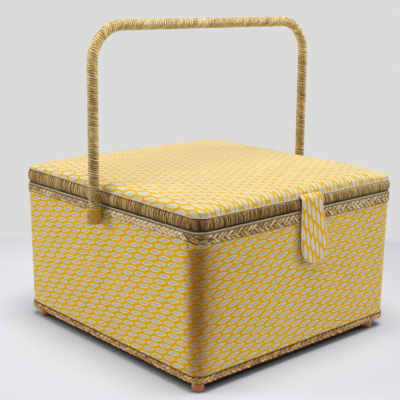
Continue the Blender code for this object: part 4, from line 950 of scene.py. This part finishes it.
def crown(inset, fullness):
    """How high the lid's cloth stands over its lower edge, at a distance in, for a full or a slack edge."""
    total = LID_PEAK - LID_EDGE
    share = min(inset / (HALF_WIDTH - 2 * MM), 1)
    roll = 1 - min(inset / ROLL_WIDTH, 1)
    full = LOW_EDGE + (ROLL_HEIGHT - LOW_EDGE) * sqrt(1 - roll ** 2)
    full += (total - ROLL_HEIGHT) * (1 - (1 - share) ** 3)
    small_roll = 1 - min(inset / (4 * MM), 1)
    slack = LOW_EDGE + SLACK_RISE * sqrt(1 - small_roll ** 2)
    slack += (total - LOW_EDGE - SLACK_RISE) * (1 - (1 - share) ** 4.6)
    return slack + (full - slack) * fullness


rings = []
ring = ring_round(-LID_CLOTH_REACH, CORNER + LID_CLOTH_REACH)
drop = hem_drop(ring[:, 0], ring[:, 1])
for share in (0, 0.2, 0.4, 0.6, 0.8, 1):
    rings.append((ring, LID_EDGE - drop + (HEM + drop) * share))
for step in range(LID_RINGS + 1):
    inset = (HALF_WIDTH - 6 * MM) * (step / LID_RINGS) ** 2.2
    ring = ring_round(inset - LID_CLOTH_REACH, CORNER + LID_CLOTH_REACH + CORNER_GROWTH * inset)
    x, y = ring[:, 0], ring[:, 1]
    side_x, side_y = x / HALF_WIDTH, y / HALF_DEPTH
    fullness = np.clip((1 - np.maximum(side_x, side_y)) / 0.30, 0, 1) ** 1.5
    near = np.hypot(np.maximum(np.abs(x) - HALF_WIDTH + FAR_CORNER, 0),
                    np.maximum(np.abs(y) - HALF_DEPTH + FAR_CORNER, 0)) / FAR_CORNER
    from_right = np.clip((np.hypot(HALF_WIDTH - x, HALF_DEPTH + y) - 10 * MM) / (34 * MM), 0, 1)
    low_corner = 0.08 + 0.92 * from_right ** 1.2
    in_corner = np.minimum(np.abs(side_x), np.abs(side_y)) > 0.5
    low_corner *= 1 - 0.5 * np.clip(near - 0.55, 0, 1) ** 1.5 * in_corner
    rise = np.array([crown(inset, full) for full in fullness])
    rings.append((ring, LID_EDGE + HEM + (rise - HEM) * low_corner))
grid = np.stack([rows_at(ring[:, 0], ring[:, 1] + SHIFT, height) for ring, height in rings])
steps = np.diff(grid, axis=0)
longer = np.linalg.norm(steps, axis=2) - np.linalg.norm(steps[:, :, :2], axis=2)
extra = np.concatenate([np.cumsum(longer[::-1], axis=0)[::-1], np.zeros((1, LID_SIDES))])
ways = np.stack([ring[:, 2:4] for ring, _ in rings])
flat = np.stack([grid[:, :, 1] + ways[:, :, 1] * extra, -grid[:, :, 0] - ways[:, :, 0] * extra], 2)
last = (len(rings) - 1) * LID_SIDES
points = np.concatenate([grid.reshape(-1, 3), [[0, SHIFT, LID_PEAK]]])
flat = np.concatenate([flat.reshape(-1, 2), [[SHIFT, 0]]])
faces = grid_faces(len(rings), LID_SIDES, False, True)
faces += [(last + side, last + (side + 1) % LID_SIDES, len(points) - 1) for side in range(LID_SIDES)]
x, y, _ = points.T
depth = 1 - np.maximum(np.abs(x) / HALF_WIDTH, np.abs(y) / HALF_DEPTH)
puff = 0.5 * lumps_at(x * 20, y * 20, 1.3)
pull = 0.28 * lumps_at(x * 90, y * 90, 7.7) * np.clip(1.2 - depth * 5, 0, 1)
points[:, 2] += MM * np.clip(depth * 25, 0, 1) * (puff + pull)
lid_cloth = new_mesh("lid_cloth", points, faces, None, {"cloth": flat})
modify(lid_cloth, 'SOLIDIFY', thickness=0.8 * MM, offset=-1)
settle(lid_cloth, lid_leaf_cloth_painted_lighter, "lid", ["lid_cover", "lid_padding"], smooth=60)


# THE CLOSING TAB. A tongue of the leaf cloth, folded double over felt and edged with a thin pale
# binding. It comes from under the lid's cloth, passes over the band and bends below it.

TAB_TOP = 179.0 * MM
TAB_DROP = 73.2 * MM
TAB_TIP_START = 54 * MM
TAB_HALF_TOP = 15.7 * MM
TAB_HALF = 20.8 * MM
TAB_X = 5 * MM
TAB_LEAN = 9 * MM
TAB_FACE = 3.9 * MM
TAB_THICK = 1.6 * MM
TAB_STAND_OFF = 1.2 * MM
TAB_FOLD = 165.1 * MM
TAB_ROLL = 3 * MM
TAB_SINK = 1.9 * MM
TAB_TUCK = (-2.4, -1.6, -0.8)
TAB_EDGE = 2.2 * MM
TAB_CUP = 0.35 * MM
TAB_BEND = ("lid", "tab", (0, -HALF_DEPTH, 167.5 * MM), (0, -HALF_DEPTH, 162.0 * MM))


def tab_half(drop):
    """Half the tab's width at a drop below the top of the band."""
    share = min(max(drop / TAB_TIP_START, 0), 1)
    half = TAB_HALF_TOP + (TAB_HALF - TAB_HALF_TOP) * share * share * (3 - 2 * share)
    if drop > TAB_TIP_START:
        tip = min((drop - TAB_TIP_START) / (TAB_DROP - TAB_TIP_START), 1)
        half = TAB_HALF * (1 - tip ** 2.2) ** (1 / 2.2)
    return half


def tab_reach(drop):
    """How far the tab's face stands out of the box's front at a drop."""
    if drop < TAB_ROLL:
        return TAB_FACE - TAB_SINK * (1 - drop / TAB_ROLL) ** 1.6
    below = max(drop - (TAB_TOP - TAB_FOLD), 0) / (TAB_DROP - TAB_TOP + TAB_FOLD)
    return TAB_FACE + TAB_STAND_OFF * below ** 1.3


def tab_middle(drop):
    return TAB_X + TAB_LEAN * max(drop, 0) / TAB_DROP


tab_shares = np.linspace(-1, 1, 23)
from_edge = 1 - np.abs(tab_shares)
tab_drops = [drop * MM for drop in TAB_TUCK] + [TAB_DROP * step / 60 for step in range(60)]
tab_drops += [TAB_DROP * share for share in (0.990, 0.995, 0.9985)]
rows, flat = [], []
for drop in tab_drops:
    half = tab_half(drop)
    roll = 0.9 * MM * (1 - np.clip(from_edge * half / TAB_EDGE, 0, 1)) ** 2
    cup = TAB_CUP * np.cos(tab_shares * pi / 2)
    x = tab_middle(drop) + tab_shares * half
    rows.append(rows_at(x, SHIFT - HALF_DEPTH - (tab_reach(drop) - roll + cup - TAB_CUP), TAB_TOP - drop))
    flat.append(rows_at(TAB_TOP - drop, -x))
faces = grid_faces(len(rows), len(tab_shares), flip=True)
tab = new_mesh("closing_tab_cloth", np.stack(rows), faces, None, {"cloth": np.stack(flat)})
modify(tab, 'SOLIDIFY', thickness=TAB_THICK, offset=-1)
# Painted light: the tab's copy of the cloth has paler leaf middles, for the light that the tab catches.
tab_leaf_cloth_painted_lighter = printed_cotton("leaf cloth of the tab", (206, 154, 0), (232, 176, 4), (204, 200, 190), 0.05)
settle(tab, tab_leaf_cloth_painted_lighter, "tab", ["closing_tab", "tab_root"], smooth=60, blend=TAB_BEND)

binding = two_tone("pale binding", (222, 210, 178), (250, 246, 230), 0.75, (900.0, 2.0), 0.1)
tip_drops = TAB_TIP_START + (TAB_DROP - TAB_TIP_START) * np.sin(np.linspace(0, pi / 2, 28))[1:]
edge = []
for drop in np.concatenate([np.linspace(-2 * MM, TAB_TIP_START, 40), tip_drops]):
    y = SHIFT - HALF_DEPTH - (tab_reach(drop) - 0.8 * MM)
    edge.append((tab_middle(drop), tab_half(drop) - 0.25 * MM, y, TAB_TOP - drop))
binding_path = [(middle - half, y, z) for middle, half, y, z in edge]
binding_path += [(middle + half, y, z) for middle, half, y, z in edge[-2::-1]]
wire = bpy.data.curves.new("tab_binding", 'CURVE')
wire.dimensions = '3D'
line = wire.splines.new('POLY')
line.points.add(len(binding_path) - 1)
for point, place in zip(line.points, binding_path):
    point.co = (*place, 1)
wire.bevel_depth = 0.38 * MM
wire.bevel_resolution = 3
wire.use_fill_caps = True
only(add_object("tab_binding", wire))
bpy.ops.object.convert(target='MESH')
settle(bpy.context.object, binding, "tab", smooth=60, blend=TAB_BEND)


# THE BAIL HANDLE. A length of rattan bent to a bail and wound from end to end with three straw cords
# side by side; each leg ends in a bamboo ferrule that turns on a bolt through the box's side.

PIVOT_HEIGHT = 154.5 * MM
HANDLE_X = 159.8 * MM
LEG_LEAN = 1.2 * MM
BEND = 38 * MM
BAR = 349.5 * MM
WRAP = 5.80 * MM
WRAP_PITCH = 2.4 * MM
WRAP_SIDES = 20
WRAP_STEP = 0.25 * MM
WRAP_START = 159.8 * MM
WRAP_GROOVE = 0.95 * MM
SIDES = (("left", -1), ("right", 1))
FERRULE = [(0, 0), (6.6, 0), (7.5, 0.25), (7.95, 0.9), (8.0, 1.8), (7.9, 5.0), (7.85, 9.0), (7.9, 13.0),
           (8.0, 15.6), (7.95, 16.5), (7.6, 17.1), (7.1, 17.3), (6.5, 17.2), (6.25, 16.8), (6.2, 13.4),
           (0, 13.4)]
FERRULE_FOOT = -9.2 * MM

lean = atan2(LEG_LEAN, BAR - BEND - PIVOT_HEIGHT)
leg_top_z = BAR - BEND * (1 - sin(lean))
leg_top_x, start_x = (HANDLE_X - (z - PIVOT_HEIGHT) * tan(lean) for z in (leg_top_z, WRAP_START))
bend_x = leg_top_x - BEND * cos(lean)
way = [(start_x, WRAP_START)]
for step in range(61):
    angle = lean + step / 60 * (pi / 2 - lean)
    way.append((bend_x + BEND * cos(angle), BAR - BEND + BEND * sin(angle)))
way = np.array(way + [(-x, z) for x, z in reversed(way)])
lengths = np.concatenate([[0], np.cumsum(np.hypot(*np.diff(way, axis=0).T))])
along = np.linspace(0, lengths[-1], ceil(lengths[-1] / WRAP_STEP))
x, z = np.interp(along, lengths, way[:, 0]), np.interp(along, lengths, way[:, 1])
tangent = np.stack([np.gradient(x), np.gradient(z)], 1)
tangent /= np.hypot(*tangent.T)[:, None]
slack = 0.35 * wobble(along, 45, 2.2)
# Painted shade: the wrap darker low on the legs, towards the ferrules.
low = np.clip((0.33 - z) / 0.08, 0, 1)
sides, tones, creases, fibres = [], [], [], []
for angle in angles(WRAP_SIDES):
    stray = 0.42 * lumps_at(along * 210, cos(angle) * 1.1, sin(angle) * 1.1 + 4.6)
    phase = along / WRAP_PITCH + 3 * angle / (2 * pi) + slack + stray
    share = np.abs(2 * (phase - np.floor(phase)) - 1)
    shade = lumps_at(np.floor(phase) * 3.7, 0.5 * sin(angle), 8.1)
    round_top = np.sqrt(np.clip(1 - share ** 2.4, 0, 1))
    radius = WRAP - WRAP_GROOVE * (1 - round_top) - 0.10 * MM * (1 + shade)
    out = radius * cos(angle)
    sides.append(rows_at(x + tangent[:, 1] * out, SHIFT + radius * sin(angle), z - tangent[:, 0] * out))
    tones.append(0.5 + 0.30 * shade - 0.14 * low)
    # Painted shade: darker in the gaps between the cords.
    gap = np.clip(0.75 + 1.1 * wobble(along + angle * 7 * MM, 330, 6.4), 0.15, 1)
    creases.append(gap * np.clip((share - 0.36 + 0.10 * low) / 0.42, 0, 1))
    fibres.append(rows_at(along, angle * WRAP))
sides, tones, creases, fibres = (np.stack(part, 1) for part in (sides, tones, creases, fibres))
faces = grid_faces(len(along), WRAP_SIDES, close_columns=True)
faces += [tuple(range(WRAP_SIDES))[::-1], tuple(range(WRAP_SIDES * (len(along) - 1), tones.size))]
wrap_tints = ((0.26, (130, 98, 40)), (0.42, (202, 165, 84)), (0.54, (242, 214, 134)), (0.74, (255, 250, 214)))
wrap_straw = straw_finish("wound straw cord", (2600, 140, 25), wrap_tints, (78, 50, 16), 0.34, 0.15, 0.50)
handle = new_mesh("handle_of_wound_cane", sides, faces, {"tone": tones.ravel(), "crease": creases.ravel()},
                  {"fibre": fibres.reshape(-1, 2)})
settle(handle, wrap_straw, "handle", ["handle_wrap"], smooth=80)

bamboo = Finish("bamboo")
streaks = bamboo.noise(bamboo.place((9, 9, 0.6)), 160.0, 3.0)
blotch = bamboo.noise(bamboo.place(), 60.0, 2.0)
bamboo_colour = bamboo.ramp(streaks * 0.6 + blotch * 0.4, (0.28, paint(156, 108, 14)),
                            (0.52, paint(194, 144, 30)), (0.78, paint(222, 182, 72)))
bamboo.surface(bamboo_colour, 0.30, streaks, 0.05 * MM, {"Coat Weight": 0.22, "Coat Roughness": 0.15})
for side, sign in SIDES:
    pivot = Matrix.Translation((sign * HANDLE_X, SHIFT, PIVOT_HEIGHT))
    upright = pivot @ Matrix.Rotation(-sign * lean, 4, 'Y')
    ferrule = lathe(f"bamboo_ferrule_{side}", FERRULE, 48, upright @ Matrix.Translation((0, 0, FERRULE_FOOT)))
    settle(ferrule, bamboo, "handle", [f"ferrule_{side}"], smooth=50)


# THE LININGS. Plain cream cotton glued to the inside of the walls, and under the lid, a thin pad on the
# floor, and a piece of the same cotton under the base.

LINING_FACE = -7.8 * MM
LINING_LOW = 16.5 * MM
LINING_HIGH = 161.6 * MM
LINING_ROWS = 24

cotton = Finish("cream cotton")
threads = cotton.noise(cotton.place(), 1500.0, 2.0)
clouds = cotton.noise(cotton.place(), 30.0, 3.0)
cotton.surface(cotton.mixed(clouds, paint(226, 214, 186), paint(242, 234, 212)), 0.85,
               threads * 0.5 + clouds, 0.12 * MM, {"Sheen Weight": 0.2})

run = np.linspace(0, GIRTH, 360, endpoint=False)
rows = []
for row in range(LINING_ROWS + 1):
    height = LINING_LOW + (LINING_HIGH - LINING_LOW) * row / LINING_ROWS
    bulge = 0.15 * MM * wobble(run, 40, 5.5 + row * 0.35) * (0 < row < LINING_ROWS)
    rows.append(rows_at(*around(run, LINING_FACE + bulge - wall_inset(height)), height))
faces = grid_faces(len(rows), len(run), False, True, flip=True)
lining = new_mesh("wall_lining_cloth", np.stack(rows), faces)
modify(lining, 'SOLIDIFY', thickness=0.8 * MM, offset=-1)
settle(lining, cotton, "box", ["wall_lining"], smooth=60)


def flat_pad(name, reach, low, high, corner, swell, replaced, cuts=24):
    """A thin cotton pad with a rounded edge, filling the box's outline at a reach."""
    half_x, half_y = HALF_WIDTH + reach, HALF_DEPTH + reach
    pad = rounded_block(name, (0, SHIFT, (low + high) / 2), (2 * half_x, 2 * half_y, high - low), corner, 6)
    pick(pad, "edges", lambda middle, way: abs(way.z) < 0.1)
    bpy.ops.mesh.bevel(offset=(high - low) * 0.4, segments=3, affect='EDGES')
    slice_at(0, np.linspace(-0.9, 0.9, cuts) * half_x)
    slice_at(1, np.linspace(-0.9, 0.9, cuts) * half_y + SHIFT)
    bpy.ops.object.mode_set(mode='OBJECT')
    points = points_of(pad)
    x, y, _ = points.T
    inward = 1 - np.maximum(np.abs(x) / half_x, np.abs(y) / half_y)
    points[:, 2] += swell * lumps_at(x * 25, y * 25, 4.4) * np.clip(inward * 10, 0, 1)
    move_points(pad, points)
    return settle(pad, cotton, "box", [replaced], smooth=40)


floor_pad = flat_pad("floor_pad_cloth", -8.3 * MM - wall_inset(16 * MM), 16.4 * MM, 18.4 * MM, 6 * MM,
                     0.2 * MM, "floor_pad")
under_cloth = flat_pad("cloth_under_base", -5.5 * MM, 10.05 * MM, 10.75 * MM, 10 * MM, 0, "bottom_cloth",
                       cuts=4)


# UNDER THE LID. A pan of cream cotton covers the board and the inside of the band. A gathered pocket of the
# cream cotton and a stuffed pincushion in the leaf cloth are sewn to it. The pan's section is in reaches and
# heights.

PAN = ((-6.6, 165.3), (-7.2, 165.25), (-7.45, 166), (-7.5, 171), (-7.5, 176), (-7.9, 177.4), (-9, 178))
POCKET_LOW = Vector((-113.5 * MM, -75 * MM, 168.9 * MM))
POCKET_HIGH = Vector((1.5 * MM, 75 * MM, 177.7 * MM))
POCKET_PLEATS = 17
PLEAT = 0.8 * MM
CUSHION_LOW = Vector((43.5 * MM, -55 * MM, 167.7 * MM))
CUSHION_HIGH = Vector((113.5 * MM, 55 * MM, 177.7 * MM))
CUSHION_START = Vector((66 * MM, 106 * MM, 5.2 * MM))
CUSHION_SWELL = 4.5 * MM

rows = [rows_at(*around(run, reach * MM), height * MM) for reach, height in PAN]
x, y, height = rows[-1].T
rows += [rows_at(x * scale, (y - SHIFT) * scale + SHIFT, height) for scale in (0.8, 0.6, 0.4, 0.2, 0.05)]
faces = grid_faces(len(rows), len(run), False, True, flip=True)
faces.append(tuple((len(rows) - 1) * len(run) + step for step in reversed(range(len(run)))))
pan = new_mesh("lid_lining_cloth", np.stack(rows), faces)
modify(pan, 'SOLIDIFY', thickness=0.6 * MM, offset=-1)
settle(pan, cotton, "lid", ["lid_lining"], smooth=50)

side, down = np.meshgrid(np.linspace(0, 1, 91), np.linspace(0, 1, 47))
shut = np.minimum(1, 6 * np.minimum(side, 1 - side)) * np.minimum(1, 5 * (1 - down))
belly = (POCKET_HIGH.z - POCKET_LOW.z - 2 * PLEAT) * np.abs(np.sin(pi * side)) ** 0.5 * (1 - down ** 3)
turns = side * 2 * pi * POCKET_PLEATS
pleats = PLEAT * np.sin(turns + 1.6 * np.sin(down * 5)) * shut * (1 - 0.75 * down)
frill = 0.5 * MM * np.cos(turns) * (down < 0.06)
x = POCKET_LOW.x + (POCKET_HIGH.x - POCKET_LOW.x) * side
y = POCKET_LOW.y + (POCKET_HIGH.y - POCKET_LOW.y) * down + frill
z = POCKET_HIGH.z - 0.3 * MM - np.maximum(belly + pleats - PLEAT, 0.2 * MM * (1 + shut))
pocket = new_mesh("gathered_pocket", rows_at(x, y, z), grid_faces(*side.shape, flip=True))
modify(pocket, 'SOLIDIFY', thickness=0.6 * MM, offset=0)
settle(pocket, cotton, "lid", ["lid_pocket"], smooth=60)

cushion = rounded_block("pincushion_cloth", (CUSHION_LOW + CUSHION_HIGH) / 2, CUSHION_START, 7 * MM, 4)
bpy.ops.object.mode_set(mode='OBJECT')
modify(cushion, 'REMESH', mode='VOXEL', voxel_size=2.4 * MM)
before = points_of(cushion)
puffed = cushion.modifiers.new("puff", 'CLOTH')
puffed.settings.use_pressure = True
puffed.settings.uniform_pressure_force = 3.0
puffed.settings.effector_weights.gravity = 0
puffed.settings.tension_stiffness = 25
puffed.settings.quality = 6
puffed.point_cache.frame_end = 20
for number in range(1, 21):
    bpy.context.scene.frame_set(number)
only(cushion)
bpy.ops.object.modifier_apply(modifier="puff")
bpy.context.scene.frame_set(1)
moved = points_of(cushion) - before
far = np.maximum(np.linalg.norm(moved, axis=1), 1e-9)
after = before + moved * np.minimum(1, CUSHION_SWELL / far)[:, None]
move_points(cushion, np.clip(after, CUSHION_LOW, CUSHION_HIGH - Vector((0, 0, 0.1 * MM))))
modify(cushion, 'SUBSURF', levels=1, render_levels=1)
map_flat(cushion.data, "cloth", points_of(cushion)[:, 1::-1])
settle(cushion, leaf_cloth, "lid", ["pincushion"], smooth=60)


# THE HINGES AND THE OTHER METAL. Two brass-plated butt hinges on the back, each leaf held by two slotted
# screws; plated bolts, washers and nuts at the handle; a magnet in the tab and its plate on the front.

SCREW = [(0, 0), (1.75, 0), (1.7, 0.25), (1.25, 0.52), (0.6, 0.66), (0, 0.70)]
SCREW_FACE = HALF_DEPTH + 2.6 * MM + SHIFT
SCREW_APART = 8.2 * MM
SCREW_SLOT = 0.22 * MM
HINGE_X = 90 * MM

brass = two_tone("brass plate", (190, 150, 74), (226, 196, 120), 0.22, (220.0, 3.0), 0.02, (1, 1, 4), 0.2,
                 {"Metallic": 1.0})
steel = two_tone("plated steel", (120, 116, 106), (188, 184, 174), 0.28, (300.0, 3.0), 0.02, swing=0.2,
                 fixed={"Metallic": 1.0})


def dress(names, finish):
    """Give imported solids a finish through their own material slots."""
    for name in names:
        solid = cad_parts[name]
        if not solid.material_slots:
            solid.data.materials.append(finish.material)
        for material_slot in solid.material_slots:
            material_slot.material = finish.material


dress([f"hinge_{leaf}_{side}" for leaf in ("body_leaf", "lid_leaf", "pin") for side, _ in SIDES], brass)
dress([f"pivot_{part}_{side}" for part in ("bolt", "nut", "washer") for side, _ in SIDES], steel)
dress(["catch_plate", "tab_magnet"], steel)


def make_screw(name, place, turn):
    """A slotted screw head facing the back: a turned dome with a slot sunk across it."""
    head = lathe(name, SCREW, 20)
    work_on(head)
    slice_at(1, [-SCREW_SLOT, SCREW_SLOT])
    pick(head, "faces", lambda middle, normal: abs(middle.y) < 0.9 * SCREW_SLOT and normal.z > 0.3)
    bpy.ops.transform.translate(value=(0, 0, -0.4 * MM))
    bpy.ops.object.mode_set(mode='OBJECT')
    head.data.transform(Matrix.Rotation(turn, 4, 'Z'))
    outward = Vector((0, 1, 0)).to_track_quat('Z', 'Y').to_matrix().to_4x4()
    head.data.transform(Matrix.Translation(place) @ outward)
    return head


for side, sign in SIDES:
    for leaf_name, body, height in (("body", "box", 155.6 * MM), ("lid", "lid", 173.6 * MM)):
        for number, across in enumerate((-SCREW_APART, SCREW_APART)):
            place = Vector((sign * HINGE_X + across, SCREW_FACE, height))
            screw = make_screw(f"screw_{leaf_name}_{side}_{number}", place, 0.9 * number + sign)
            settle(screw, brass, body, smooth=40)


# THE LID STAYS. Cotton tapes from the walls to the lid's pan, which stop the lid when it is open and
# hang in a loop while it is shut. The loop is in distances from the wall and heights.

STAY_WALL = 141.6
STAY_LOOP = ((0, 153), (0.1, 143), (0.15, 128), (0.2, 115), (0.5, 112.4), (1.0, 112.2), (1.3, 115),
             (1.2, 128), (1.1, 143), (0.9, 153), (0.6, 161), (0.4, 171))
STAY_BACK = 107.4 * MM
STAY_WIDTH = 12 * MM
STAY_BEND = ("box", "lid", (0, 0, 153 * MM), (0, 0, 168 * MM))

tape = two_tone("cotton tape", (214, 204, 178), (240, 234, 214), 0.8, (700.0, 2.0), 0.08, (1, 6, 1))
steps = np.arange(6 * len(STAY_LOOP) - 5) / 6
from_wall, height = (np.interp(steps, range(len(STAY_LOOP)), places) for places in zip(*STAY_LOOP))
for side, sign in SIDES:
    x = sign * (STAY_WALL - from_wall) * MM
    points = np.stack([rows_at(x, STAY_BACK - STAY_WIDTH * share, height * MM) for share in (0, 0.5, 1)], 1)
    stay = new_mesh(f"stay_tape_{side}", points, grid_faces(len(steps), 3, flip=sign > 0))
    modify(stay, 'SOLIDIFY', thickness=0.45 * MM, offset=0)
    settle(stay, tape, "box", [f"lid_stay_{side}"], smooth=60, blend=STAY_BEND)


# THE BOARDS, THE STRIPS AND THE TRAY. Grey fibre board walls, base and lid board, light wooden corner
# strips and ledges, bare rattan inside the handle, and a moulded off-white tray that lifts out.

board = two_tone("fibre board", (138, 124, 104), (190, 176, 152), 0.85, (380.0, 4.0, 0.7), 0.1)
wood = two_tone("light wood", (178, 140, 90), (222, 192, 144), 0.6, (120.0, 4.0, 0.6), 0.08, (3, 1, 0.25))
rattan = two_tone("rattan", (176, 138, 82), (226, 200, 148), 0.5, (200.0, 3.0), 0.06, (6, 6, 0.5))
plastic = Finish("off-white plastic")
satin = plastic.noise(plastic.place(), 260.0, 3.0)
scuffs = plastic.noise(plastic.place((1, 4, 1)), 55.0, 4.0)
plastic.surface(plastic.mixed(scuffs, paint(232, 226, 212), paint(244, 240, 230)), scuffs * 0.16 + 0.3, satin,
                0.03 * MM, {"Subsurface Weight": 0.05, "Subsurface Radius": (0.002, 0.0015, 0.001)})
dress(["base_board", "panel_front", "panel_back", "panel_left", "panel_right", "lid_board"], board)
dress([f"corner_strip_{end}_{side}" for end in ("front", "back") for side, _ in SIDES], wood)
dress(["tray_ledge_left", "tray_ledge_right", "lid_frame_strip"], wood)
dress(["handle_cane"], rattan)
dress(["tray"], plastic)
